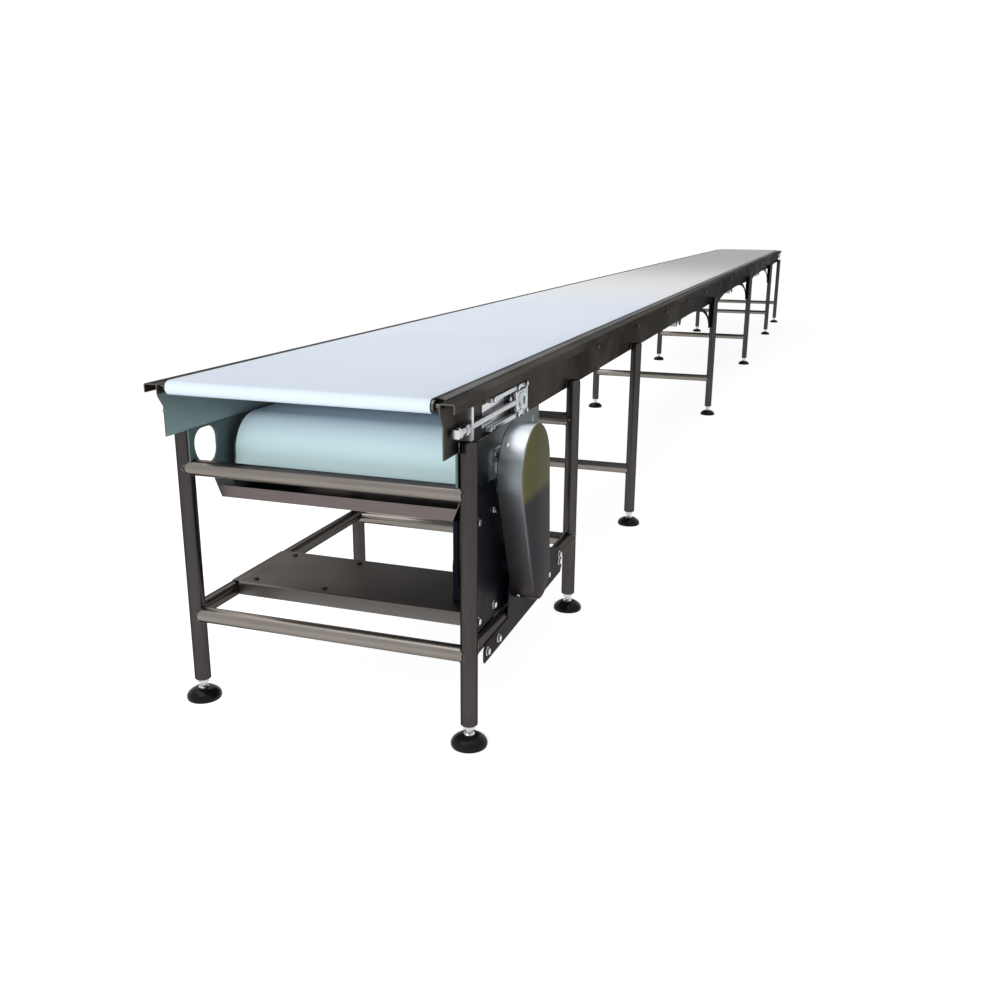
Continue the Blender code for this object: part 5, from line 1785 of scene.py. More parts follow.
    def build_bracket(self, side: Side, palette: Palette) -> None:
        """The bracket that holds the screw, on top of the first leg."""
        node = f"takeup_bracket_{side.word}"
        shape = Shape(f"screw_bracket_{side.word}")
        low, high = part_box(node)
        middle = place_of("tension_roller")
        screw_x = LAYOUT.x(side, self.start + self.screw_out)
        outline = rounded_box((low.x, low.z), (high.x, high.z), (0.006, 0.006, 0.001, 0.001))
        shape.prism(
            outline, low.y, high.y, Plane.XZ, palette.zinc,
            [circle(screw_x, middle.z, self.screw + self.ridge)]
        )
        for seat_y, way in ((low.y, -1), (high.y, 1)):
            nut = Vector((screw_x, seat_y, middle.z))
            profile = [
                (self.screw + self.ridge, 0), (0.0122, 0), (0.0122, 0.0055), (0.0105, 0.0065),
                (self.screw + self.ridge, 0.0065)
            ]
            shape.turned(profile, nut, Y_AXIS * way, palette.zinc, 6, True)
        shape.finish(node, slot="casting")


# ---- Legs, braces and feet -----------------------------------------------------------


def saddle(
    hub: Vector, post_radius: float, tube_radius: float, way: int, along_x: bool
) -> list[Vector]:
    """The line where a level tube meets an upright one.

    Args:
        hub: Where the two axes cross.
        post_radius: The upright's radius.
        tube_radius: The level tube's radius.
        way: The sign of the direction that the tube leaves in.
        along_x: True for a tube along X, False for one along Y.

    Returns:
        The points of the closed line.
    """
    points = []
    for i in range(WELD_POINTS):
        angle = tau * i / WELD_POINTS
        across = tube_radius * cos(angle)
        out = way * sqrt(max(post_radius * post_radius - across * across, 0.0))
        offset = (out, across) if along_x else (across, out)
        points.append(hub + Vector((*offset, tube_radius * sin(angle))))
    return points


@dataclass(frozen=True)
class LegFrame:
    """Two tube legs with plugged ends, joined by welded cross tubes and welded to the webs."""

    number: int
    y: float
    tall: bool
    leg_x: float = 0.3408
    radius: float = 0.019
    cross_radius: float = 0.0185
    top: float = 0.685
    bottom: float = 0.0505
    web_bottom: float = 0.661
    lower: float = 0.216
    upper: float = 0.573
    bore: float = 0.0086
    wall: float = 0.0015
    plug: float = 0.020
    bead: float = 0.0016
    web_bead: float = 0.0023

    def build(self, palette: Palette) -> None:
        """Build the legs, the cross tubes and their welds."""
        shape = Shape(f"leg_set_{self.number}")
        levels = [self.lower, self.upper] if self.tall else [self.lower]
        for side in Side:
            self.build_leg(shape, side, palette)
            for level in levels:
                hub = LAYOUT.at(side.value * self.leg_x, self.y, level)
                radii = (self.radius + 0.0004, self.cross_radius + 0.0006)
                shape.bead(saddle(hub, *radii, -side.value, True), self.bead, palette.weld)
        for level in levels:
            reach = self.leg_x - self.radius * 0.55
            tube = rod(self.cross_radius, -reach, reach)
            shape.turned(tube, LAYOUT.at(0, self.y, level), X_AXIS, palette.cross, SHAFT_SEGMENTS)
        shape.finish(f"leg_frame_{self.number}", slot="tube")

    def build_leg(self, shape: Shape, side: Side, palette: Palette) -> None:
        """One leg: the tube, its domed top, its foot insert and its welds to the web."""
        foot = LAYOUT.at(side.value * self.leg_x, self.y, 0)
        wall, plug = self.wall, self.plug
        tube = [
            (self.bore, self.bottom + 0.0008), (self.bore + 0.0008, self.bottom),
            (self.radius - 0.0015, self.bottom), (self.radius, self.bottom + 0.0015),
            (self.radius, self.top - 0.006),
            *(
                (self.radius - 0.006 * (1 - cos(a)), self.top - 0.006 + 0.0058 * sin(a))
                for a in (0.5, 1.0, 1.4)
            ),
            (0, self.top), (0, self.top - 0.004), (self.radius - wall, self.top - 0.008),
            (self.radius - wall, self.bottom + plug), (self.bore, self.bottom + plug),
        ]
        shape.turned(tube, foot, Z_AXIS, palette.upright, 44, True)
        band = self.radius + 0.0001
        shape.turned(
            [
                (band - 0.002, self.bottom + 0.0125), (band, self.bottom + 0.0128),
                (band, self.bottom + 0.0136), (band - 0.002, self.bottom + 0.0139)
            ],
            foot, Z_AXIS, palette.seal, 44, True,
        )
        for across in BOTH_WAYS:
            start = foot + Vector((-side.value * (self.radius - 0.0013), across * 0.0085, 0))
            path = [start + Vector((0, 0, self.web_bottom + 0.0035 * i)) for i in range(7)]
            shape.bead(path, self.web_bead, palette.weld, False)


@dataclass(frozen=True)
class Brace:
    """A long tube between the first two leg frames."""

    side: Side
    radius: float = 0.019
    bead: float = 0.0016

    def build(self, palette: Palette) -> None:
        """Build the tube and its end welds."""
        node = f"brace_{self.side.word}"
        low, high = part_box(node)
        middle = (low + high) / 2
        shape = Shape(f"brace_tube_{self.side.word}")
        half = (high.y - low.y) / 2 + self.radius * 0.3
        shape.turned(rod(self.radius, -half, half), middle, Y_AXIS, palette.brace, SHAFT_SEGMENTS)
        for y, way in ((low.y - self.radius, 1), (high.y + self.radius, -1)):
            hub, radii = Vector((middle.x, y, middle.z)), (
                self.radius + 0.0004, self.radius - 0.0002
            )
            shape.bead(saddle(hub, *radii, way, False), self.bead, palette.weld)
        shape.finish(node, slot="tube")


@dataclass(frozen=True)
class Foot:
    """A levelling foot: a domed pad, a steel neck, a threaded spindle and its lock nut."""

    number: int
    side: Side
    pad: float = 0.041
    edge: float = 0.012
    crown: float = 0.027
    neck: float = 0.015
    spindle: float = 0.008
    top: float = 0.130
    nut: tuple[float, float] = (0.0392, 0.0502)
    pitch: float = 0.0026
    ridge: float = 0.0007
    soft: float = 0.003
    nut_radius: float = 0.0134
    nut_chamfer: float = 0.0012

    def build(self, palette: Palette, repeat: Repeaters) -> None:
        """Build the foot."""
        node = f"foot_{self.number}_{self.side.word}"
        middle = middle_of(node)
        floor = Vector((middle.x, middle.y, 0))
        shape = Shape(f"levelling_foot_{self.number}_{self.side.word}", node)
        soft = self.soft
        slope = [
            (
                self.pad - (self.pad - self.neck) * t,
                self.edge + (self.crown - self.edge) * (1 - (1 - t) ** 1.8)
            )
            for t in (0.12, 0.3, 0.5, 0.7, 0.86, 1.0)
        ]
        pad = [
            (0, 0.0002), (self.pad - soft, 0.0002), (self.pad - soft * 0.3, soft * 0.3),
            (self.pad, soft), (self.pad, self.edge - soft),
            (self.pad - soft * 0.4, self.edge - soft * 0.2), *slope, (0, self.crown + 0.0005),
        ]
        shape.turned(pad, floor, Z_AXIS, palette.foot, 48)
        collar = [
            (0, self.crown - 0.002), (self.neck - 0.0025, self.crown - 0.002),
            (self.neck - 0.0025, self.crown + 0.0015), (self.spindle + 0.001, self.crown + 0.0045),
            (0, self.crown + 0.0045)
        ]
        shape.turned(collar, floor, Z_AXIS, palette.zinc, 36)
        core, start = self.spindle - self.ridge, self.crown + 0.003
        threaded = repeat.threaded(core, self.top - start, self.pitch, self.ridge, palette.zinc)
        shape.add_mesh(threaded, palette.zinc, Matrix.Translation(floor + Vector((0, 0, start))))
        low, high = self.nut
        shape.turned(
            rod(self.nut_radius, low, high, self.nut_chamfer), floor, Z_AXIS, palette.zinc, 6
        )
        shape.finish(node, slot="foot")


# ---- Chain drive and guard -----------------------------------------------------------


@dataclass(frozen=True)
class ChainDrive:
    """Two sprockets on keyed hubs, and a roller chain of outer and inner links."""

    pitch: float = 0.01905
    teeth: tuple[int, int] = (28, 14)
    wheels: tuple[str, str] = ("drive_drum", "output_shaft")
    sprocket_x: float = 0.383
    width: float = 0.007
    hub: float = 0.020
    hub_wall: float = 0.012
    rise: float = 0.0045

    def pitch_radius(self, teeth: int) -> float:
        """The circle that a sprocket's chain pins would run on."""
        return self.pitch / (2 * sin(pi / teeth))

    def build(self, palette: Palette, repeat: Repeaters) -> None:
        """Build the sprockets, the chain and the gearbox's shaft."""
        nodes = ("drum_sprocket", "motor_sprocket")
        names = ("large_sprocket", "small_sprocket")
        bodies = ("drive_drum", "motor_shaft")
        for wheel, teeth, node, name, body, shaft in zip(
            self.wheels, self.teeth, nodes, names, bodies, (0.015, 0.0125)
        ):
            self.build_sprocket(place_of(wheel), teeth, node, name, body, shaft, palette)
        self.build_shaft(palette)
        self.build_chain(palette, repeat)

    def build_sprocket(
        self, middle: Vector, teeth: int, node: str, name: str, body: str, shaft: float,
        palette: Palette,
    ) -> None:
        """A toothed wheel with lightening holes, a hub and a grub screw."""
        shape = Shape(name, body)
        radius = self.pitch_radius(teeth)
        outline = []
        for tooth in range(teeth):
            for part, rise in (
                (-0.36, -0.0040), (-0.24, -0.0015), (-0.13, 0.0030), (-0.06, 0.0041),
                (0.06, 0.0041), (0.13, 0.0030), (0.24, -0.0015), (0.36, -0.0040)
            ):
                angle = tau * (tooth + part) / teeth
                reach = radius + rise
                outline.append((middle.y + reach * cos(angle), middle.z + reach * sin(angle)))
        holes = [circle(middle.y, middle.z, shaft + 0.0004)]
        rim = radius - 0.014
        if rim - shaft - self.hub_wall > 0.018:
            spacing = (rim + shaft + self.hub_wall) / 2
            for i in range(6):
                angle = tau * i / 6
                y, z = middle.y + spacing * cos(angle), middle.z + spacing * sin(angle)
                holes.append(circle(y, z, 0.0105, 24))
        near = LAYOUT.x(Side.RIGHT, self.sprocket_x)
        shape.prism(outline, near, near + self.width, Plane.YZ, palette.chain, holes)
        hub_end = near + self.width - self.hub
        radius = shaft + self.hub_wall
        seat = Vector((hub_end, middle.y, middle.z))
        hub = [
            (shaft + 0.0004, 0), (radius - 0.001, 0), (radius, 0.001),
            (radius, self.hub - self.width / 2), (shaft + 0.0004, self.hub - self.width / 2)
        ]
        shape.turned(hub, seat, X_AXIS, palette.chain, SHAFT_SEGMENTS, True)
        grub = seat + Vector((0.006, 0, radius - 0.0008))
        shape.turned(rod(0.004, 0, 0.0025), grub, Z_AXIS, palette.zinc, 6)
        shape.finish(node, slot="chain")

    def build_shaft(self, palette: Palette) -> None:
        """The gearbox's output shaft with its key."""
        low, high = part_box("output_shaft")
        middle = (low + high) / 2
        radius, half = 0.0125, (high.x - low.x) / 2
        shape = Shape("gearbox_shaft", "motor_shaft")
        shape.turned(rod(radius, -half, half, 0.001), middle, X_AXIS, palette.shaft, SHAFT_SEGMENTS)
        shape.box(
            (high.x - 0.030, middle.y - 0.003, middle.z + radius - 0.003),
            (high.x - 0.005, middle.y + 0.003, middle.z + radius + 0.0018), palette.chain, 0.0005
        )
        shape.finish("output_shaft", slot="roller")

    def link(self, name: str, gap: float, rollers: bool, palette: Palette) -> Shape:
        """One link along local X, its plates facing local Z.

        Args:
            name: Its name.
            gap: Half the distance between its plates' inner faces.
            rollers: True for the inner link, whose pins carry rollers.
            palette: The finishes.

        Returns:
            The link.
        """
        shape = Shape(name)
        half, big, waist, plate = self.pitch / 2, 0.0036, 0.0026, 0.0011
        outline = []
        for end, start in ((1, -pi / 2), (-1, pi / 2)):
            outline += [
                (end * half + big * cos(start + pi * i / 5), big * sin(start + pi * i / 5))
                for i in range(6)
            ]
            outline.append((0, -waist * -end))
        for way in BOTH_WAYS:
            low, high = sorted((way * gap, way * (gap + plate)))
            shape.prism(outline, low, high, Plane.XY, palette.chain)
        for end in BOTH_WAYS:
            reach = gap if rollers else gap + plate + 0.0008
            radius = 0.0034 if rollers else 0.0017
            shape.turned(rod(radius, -reach, reach), (end * half, 0, 0), Z_AXIS, palette.chain, 8)
        return shape

    def build_chain(self, palette: Palette, repeat: Repeaters) -> None:
        """Run outer and inner links in turn round both sprockets."""
        wheels = []
        for wheel, teeth in zip(self.wheels, self.teeth):
            middle = place_of(wheel)
            wheels.append(Wheel(middle.y, middle.z, self.pitch_radius(teeth) + 0.0042 + self.rise))
        points = [(y, z) for y, z, _ in wrap(wheels, LOOP_STEP)]
        length = sum(
            (Vector(a) - Vector(b)).length for a, b in zip(points, points[1:] + points[:1])
        )
        curve = bpy.data.curves.new("chain_path", "CURVE")
        add_loop(curve, points)
        path = bpy.data.objects.new("chain_path", curve)
        mesh = bpy.data.meshes.new("inner_link")
        inner = self.link("inner_link", 0.0028, True, palette)
        inner.work.to_mesh(mesh)
        inner.work.free()
        follower = bpy.data.objects.new("inner_link", mesh)
        for helper in (path, follower):
            bpy.context.scene.collection.objects.link(helper)
        links = repeat.run(
            repeat.chain, self.link("outer_link", 0.0042, False, palette), palette.chain,
            Count=2 * round(length / self.pitch / 2), Inner_Link=follower, Path=path,
        )
        for helper in (path, follower):
            bpy.data.objects.remove(helper)
        shape = Shape("roller_chain")
        middle = LAYOUT.x(Side.RIGHT, self.sprocket_x + self.width / 2)
        shape.add_mesh(links, palette.chain, Plane.YZ.matrix(middle))
        shape.finish("drive_chain", slot="chain")


@dataclass(frozen=True)
class Guard:
    """The chain guard: a deep cover with a rolled edge over a back plate with a skirt.

    radii are the guard's at the drum and at the motor. levels are the skirt's bottom, its top at
    the front and its top at the back.
    """

    cover: tuple[float, float] = (0.3624, 0.420)
    plate: tuple[float, float] = (0.3601, 0.3621)
    radii: tuple[float, float] = (0.1068, 0.0680)
    sheet: float = 0.0015
    roll: float = 0.006
    window: float = 0.034
    front: float = 0.140
    knee: float = 0.306
    back: float = 0.780
    levels: tuple[float, float, float] = (0.180, 0.224, 0.250)
    bolt: float = 0.0078
    bolts: tuple[tuple[float, float], ...] = (
        (0.160, 0.2035), (0.235, 0.2035), (0.540, 0.216), (0.640, 0.216), (0.750, 0.216),
        (0.750, 0.2365),
    )

    def wheels(self) -> tuple[Wheel, Wheel]:
        """The two circles of the guard's outside, at the drum and at the motor."""
        drum, motor = place_of("drive_drum"), place_of("output_shaft")
        return Wheel(drum.y, drum.z, self.radii[0]), Wheel(motor.y, motor.z, self.radii[1])

    def build(self, palette: Palette) -> None:
        """Build the cover and the back plate."""
        self.build_cover(palette)
        self.build_plate(palette)

    def build_cover(self, palette: Palette) -> None:
        """A pressed cup with rounded corners, screwed to the back plate."""
        loop = wrap(list(self.wheels()))
        low, high = LAYOUT.span(Side.RIGHT, *self.cover)
        rings = []

        def ring(x: float, inset: float) -> None:
            rings.append([Vector((x, y, z)) for y, z in shifted(loop, -inset)])

        turns = [pi / 2 * i / 6 for i in range(7)]
        bend = self.roll - self.sheet
        for angle in reversed(turns):
            ring(high - self.roll + bend * sin(angle), self.roll - bend * cos(angle))
        ring(low, self.sheet)
        ring(low, 0.0)
        for angle in turns:
            ring(high - self.roll + self.roll * sin(angle), self.roll * (1 - cos(angle)))
        shape = Shape("guard_shell")
        shape.skin(rings, palette.guard)
        for eighth in (1, 3, 5, 7):
            y, z, heading = loop[len(loop) * eighth // 8]
            away = Vector((0, sin(heading), -cos(heading)))
            seat = Vector((low + 0.012, y, z)) - away * 0.0002
            shape.turned(
                [(0, 0), (0.0052, 0), (0.0050, 0.0012), (0.0038, 0.0024), (0, 0.0029)], seat, away,
                palette.zinc, 20
            )
        shape.finish("guard_cover", slot="guard")

    def build_plate(self, palette: Palette) -> None:
        """The flat plate behind the cover, with shaft windows and bolts."""
        drum, motor = self.wheels()
        loop = [(y, z) for y, z, _ in wrap([drum, motor])]
        shoulder = motor.z + motor.radius / 2
        front_at, back_at = motor.y - motor.radius, motor.y + motor.radius
        upper = [point for point in loop if point[1] > shoulder]
        upper.sort(key=lambda point: atan2(point[1] - motor.z, point[0] - motor.y))
        nose = LAYOUT.nose_y
        bottom, front_top, back_top = self.levels
        soft = 0.012
        skirt = [
            (front_at, motor.z), (nose + self.knee, front_top),
            (nose + self.front + soft, front_top), (nose + self.front, front_top - soft),
            (nose + self.front, bottom + soft * 0.5), (nose + self.front + soft * 0.5, bottom),
            (nose + self.back - soft, bottom), (nose + self.back, bottom + soft),
            (nose + self.back, back_top - soft), (nose + self.back - soft, back_top),
            (back_at, shoulder),
        ]
        low, high = LAYOUT.span(Side.RIGHT, *self.plate)
        windows = [circle(wheel.y, wheel.z, self.window) for wheel in (drum, motor)]
        shape = Shape("guard_sheet_back")
        shape.prism(upper + skirt, low, high, Plane.YZ, palette.backplate, windows)
        for y, z in self.bolts:
            shape.bolt((high, nose + y, z), X_AXIS, self.bolt, palette.zinc)
        shape.finish("guard_backplate", slot="guard")


# ---- Gear motor, its shelf and the pan -----------------------------------------------


@dataclass(frozen=True)
class GearMotor:
    """The worm gearbox on its side plate, the finned motor behind it and the shelf under both."""

    plate: tuple[float, float] = (0.3378, 0.3438)
    window: float = 0.034
    radius: float = 0.062
    fins: int = 30
    cowl_wall: float = 0.0015
    shelf_sheet: float = 0.003
    shelf_half: float = 0.3215
    shelf_reach: float = 0.3448
    bolt: float = 0.0075
    inner_bolts: tuple[tuple[float, float], ...] = ((0.140, 0.300), (0.140, 0.520), (0.255, 0.545))
    outer_bolts: tuple[tuple[float, float], ...] = (
        (0.150, 0.275), (0.150, 0.500), (0.255, 0.500), (0.255, 0.275), (0.450, 0.490),
    )

    def build(self, palette: Palette, repeat: Repeaters) -> None:
        """Build each piece from the shelf up."""
        self.build_shelf(palette)
        self.build_plate(palette)
        self.build_gearbox(palette, repeat)
        self.build_motor(palette, repeat)
        self.build_cowl(palette, repeat)
        self.build_terminal_box(palette)

    def build_shelf(self, palette: Palette) -> None:
        """The folded shelf with its hanging edges and the tabs that lie on the braces."""
        low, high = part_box("motor_shelf")
        half = self.shelf_sheet / 2
        path = [
            (low.y + half, low.z), (low.y + half, high.z - half), (high.y - half, high.z - half),
            (high.y - half, low.z)
        ]
        shape = Shape("folded_shelf")
        near, far = LAYOUT.x(Side.LEFT, self.shelf_half), LAYOUT.x(Side.RIGHT, self.shelf_half)
        shape.prism(folded(path, self.shelf_sheet, 0.0035), near, far, Plane.YZ, palette.tray)
        for side in Side:
            near, far = LAYOUT.span(side, self.shelf_half - 0.001, self.shelf_reach)
            shape.box(
                (near, low.y + 0.008, high.z - self.shelf_sheet), (far, high.y - 0.008, high.z),
                palette.tray, 0.0006
            )
        for x, y in product((-0.29, -0.10), (low.y + 0.030, high.y - 0.030)):
            shape.bolt((LAYOUT.centre_x + x, y, high.z), Z_AXIS, 0.0060, palette.fixing)
        shape.finish("motor_shelf", slot="stainless")

    def build_plate(self, palette: Palette) -> None:
        """The steel side plate with its tall front and its bolts."""
        low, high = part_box("motor_plate")
        shaft = place_of("output_shaft")
        nose, soft = LAYOUT.nose_y, 0.010
        tall_back, shoulder = nose + 0.270, 0.5239
        outline = [
            (low.y + 0.002, low.z), (high.y - 0.002, low.z), (high.y, low.z + 0.002),
            (high.y, shoulder - soft), (high.y - soft, shoulder), (tall_back + soft, shoulder),
            (tall_back, shoulder + soft), (tall_back, high.z - soft), (tall_back - soft, high.z),
            (low.y + soft, high.z), (low.y, high.z - soft), (low.y, low.z + 0.002),
        ]
        near, far = LAYOUT.span(Side.RIGHT, *self.plate)
        shape = Shape("motor_side_plate")
        shape.prism(
            outline, near, far, Plane.YZ, palette.black, [circle(shaft.y, shaft.z, self.window)]
        )
        for x, way, bolts in ((near, -1, self.inner_bolts), (far, 1, self.outer_bolts)):
            for y, z in bolts:
                shape.bolt((x, nose + y, z), X_AXIS * way, self.bolt, palette.zinc)
        shape.finish("motor_plate", slot="dark_paint")

    def build_gearbox(self, palette: Palette, repeat: Repeaters) -> None:
        """A cast box with a round worm-wheel cover, cooling ribs, foot lugs, plugs and bolts."""
        low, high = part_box("gearbox")
        shaft = place_of("output_shaft")
        shape = Shape("worm_gearbox")
        inset = 0.006
        shape.box(
            low + Vector((inset, inset, 0)), high - Vector((0, 0, inset)), palette.black, 0.010
        )
        face = low.x + inset
        cover = [
            (0, 0), (0.056, 0), (0.056, 0.0035), (0.053, 0.0050), (0.030, 0.0055), (0.024, 0.0058),
            (0, 0.0058)
        ]
        shape.turned(
            cover, (face + 0.0005, shaft.y, shaft.z), -X_AXIS, palette.black, ROUND_SEGMENTS
        )
        screw = Shape("cover_screw").bolt(
            (face - 0.002, shaft.y, shaft.z + 0.047), -X_AXIS, 0.0052, palette.zinc, False
        )
        hub = Vector((0.0, shaft.y, shaft.z))
        repeat.add_ring(shape, screw, palette.zinc, 8, hub, X_AXIS)
        rib = Shape("rib").box(
            (low.x + 0.020, low.y, low.z + 0.030),
            (low.x + 0.0235, low.y + inset + 0.004, high.z - 0.020), palette.black, 0.001,
        )
        repeat.add_row(shape, rib, palette.black, 9, (0.0105, 0, 0))
        crest = Shape("crest").box(
            (low.x + 0.020, low.y + 0.020, high.z - inset - 0.004),
            (low.x + 0.0235, high.y - 0.016, high.z), palette.black, 0.001,
        )
        repeat.add_row(shape, crest, palette.black, 8, (0.0115, 0, 0))
        for y, x in product((low.y + 0.014, high.y - 0.014), (low.x + 0.022, high.x - 0.022)):
            lug = ((x - 0.014, y - 0.012, low.z), (x + 0.014, y + 0.012, low.z + 0.014))
            shape.box(*lug, palette.black, 0.002)
        plug = Vector((low.x + inset, low.y + 0.030, low.z + 0.040))
        shape.bolt(plug, -X_AXIS, 0.0058, palette.zinc, False)
        shape.bolt(
            (low.x + 0.050, low.y + inset, low.z + 0.022), -Y_AXIS, 0.0056, palette.zinc, False
        )
        shape.finish("gearbox", slot="dark_paint")

    def build_motor(self, palette: Palette, repeat: Repeaters) -> None:
        """The motor: a bored flange, end bells and a ring of cooling fins."""
        low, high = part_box("motor")
        middle = (low + high) / 2
        start = Vector((middle.x, low.y, middle.z))
        length = high.y - low.y
        core = self.radius - 0.0075
        shape = Shape("finned_motor")
        body = [
            (0, 0), (self.radius - 0.001, 0), (self.radius, 0.001), (self.radius, 0.009),
            (self.radius - 0.001, 0.010), (core + 0.001, 0.012), (core, 0.016),
            (core, length - 0.016), (core + 0.003, length - 0.012),
            (self.radius - 0.002, length - 0.010), (self.radius - 0.002, length - 0.001),
            (self.radius - 0.003, length), (0, length),
        ]
        shape.turned(body, start, Y_AXIS, palette.black, ROUND_SEGMENTS)
        fin = Shape("fin").box(
            start + Vector((-0.0011, 0.020, core - 0.002)),
            start + Vector((0.0011, length - 0.018, self.radius - 0.0004)), palette.black, 0.0005,
        )
        hub = Vector((middle.x, 0.0, middle.z))
        repeat.add_ring(shape, fin, palette.black, self.fins, hub, Y_AXIS)
        corner = self.radius * 0.93 * DIAGONAL
        bolt = Shape("flange_bolt").bolt(
            start + Vector((corner, 0.010, corner)), Y_AXIS, 0.0045, palette.zinc, False
        )
        repeat.add_ring(shape, bolt, palette.zinc, 4, hub, Y_AXIS)
        shape.finish("motor", slot="dark_paint")

    def build_cowl(self, palette: Palette, repeat: Repeaters) -> None:
        """The fan cowl: a pressed cup whose end is a grille of rings on spokes."""
        low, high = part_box("fan_cowl")
        middle = (low + high) / 2
        start = Vector((middle.x, low.y, middle.z))
        depth, wall, soft = high.y - low.y, self.cowl_wall, 0.008
        outer = self.radius
        turns = [pi / 2 * i / 6 for i in range(7)]
        mouth = outer * 0.74
        profile = [(outer - wall, 0), (outer, 0)]
        profile += [(outer - soft * (1 - cos(a)), depth - soft + soft * sin(a)) for a in turns]
        profile += [(mouth, depth), (mouth, depth - wall)]
        bend = soft - wall
        profile += [
            (outer - soft + bend * cos(a), depth - soft + bend * sin(a)) for a in reversed(turns)
        ]
        shape = Shape("motor_cowl")
        shape.turned(profile, start, Y_AXIS, palette.black, ROUND_SEGMENTS, True)
        for radius in (0.010, 0.0165, 0.023, 0.0295, 0.036, 0.0425):
            shape.turned(
                circle(radius, depth - 0.0018, 0.0013, 6), start, Y_AXIS, palette.black,
                SHAFT_SEGMENTS, True
            )
        spoke = Shape("spoke").box(
            start + Vector((-0.0012, depth - 0.0036, 0.003)),
            start + Vector((0.0012, depth - 0.0008, mouth + 0.002)), palette.black, 0.0004,
        )
        hub = Vector((middle.x, 0.0, middle.z))
        repeat.add_ring(shape, spoke, palette.black, 6, hub, Y_AXIS)
        fan = [
            (0, depth * 0.2), (0.052, depth * 0.2), (0.052, depth * 0.24), (0.018, depth * 0.3),
            (0.016, depth * 0.7), (0, depth * 0.72)
        ]
        shape.turned(fan, start, Y_AXIS, palette.seal, SHAFT_SEGMENTS)
        blade = Shape("blade").box(
            start + Vector((-0.0010, depth * 0.22, 0.012)),
            start + Vector((0.0010, depth * 0.70, 0.050)), palette.seal, 0.0004,
        )
        repeat.add_ring(shape, blade, palette.seal, 8, hub, Y_AXIS)
        screw = Shape("screw").bolt(
            start + Vector((0, 0.010, outer - 0.0034)), Z_AXIS, 0.0028, palette.zinc, False
        )
        repeat.add_ring(shape, screw, palette.zinc, 4, hub, Y_AXIS)
        shape.finish("fan_cowl", slot="dark_paint")

    def build_terminal_box(self, palette: Palette) -> None:
        """The wiring box: a base, a lid with four screws and a capped cable gland."""
        low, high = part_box("terminal_box")
        split = low.z + (high.z - low.z) * 0.70
        inset = 0.0015
        shape = Shape("wiring_box")
        shape.box(
            low + Vector((inset, inset, 0)), (high.x - inset, high.y - inset, split), palette.black,
            0.004
        )
        shape.box((low.x, low.y, split), high, palette.lid, 0.003)
        head = [(0, 0), (0.0030, 0), (0.0028, 0.0006), (0, 0.0008)]
        for x, y in product((low.x + 0.008, high.x - 0.008), (low.y + 0.008, high.y - 0.008)):
            shape.turned(head, (x, y, high.z - 0.0009), Z_AXIS, palette.zinc, 14)
        gland = Vector((low.x + 0.002, (low.y + high.y) / 2, (low.z + split) / 2))
        profile = [
            (0, 0), (0.0095, 0), (0.0095, 0.006), (0.0080, 0.0075), (0.0080, 0.014),
            (0.0060, 0.016), (0, 0.016)
        ]
        shape.turned(profile, gland, -X_AXIS, palette.lid, 18)
        shape.finish("terminal_box", slot="dark_paint")


# ---- Studio --------------------------------------------------------------------------


@dataclass(frozen=True)
class Lamp:
    """A soft rectangular lamp, which may be kept out of reflections."""

    name: str
    at: Triple
    aim: Triple
    size: tuple[float, float]
    power: float
    mirrored: bool = True
    spread: float = radians(130)

    def build(self) -> None:
        """Hang the lamp and aim it."""
        light = bpy.data.lights.new(self.name, "AREA")
        light.shape = "RECTANGLE"
        light.size, light.size_y = self.size
        light.energy = self.power
        light.spread = self.spread
        lamp = bpy.data.objects.new(self.name, light)
        lamp.location = LAYOUT.at(*self.at)
        lamp.visible_glossy = self.mirrored
        lamp.visible_camera = False
        aim = LAYOUT.at(*self.aim) - LAYOUT.at(*self.at)
        lamp.rotation_euler = aim.to_track_quat("-Z", "Y").to_euler()
        bpy.context.scene.collection.objects.link(lamp)


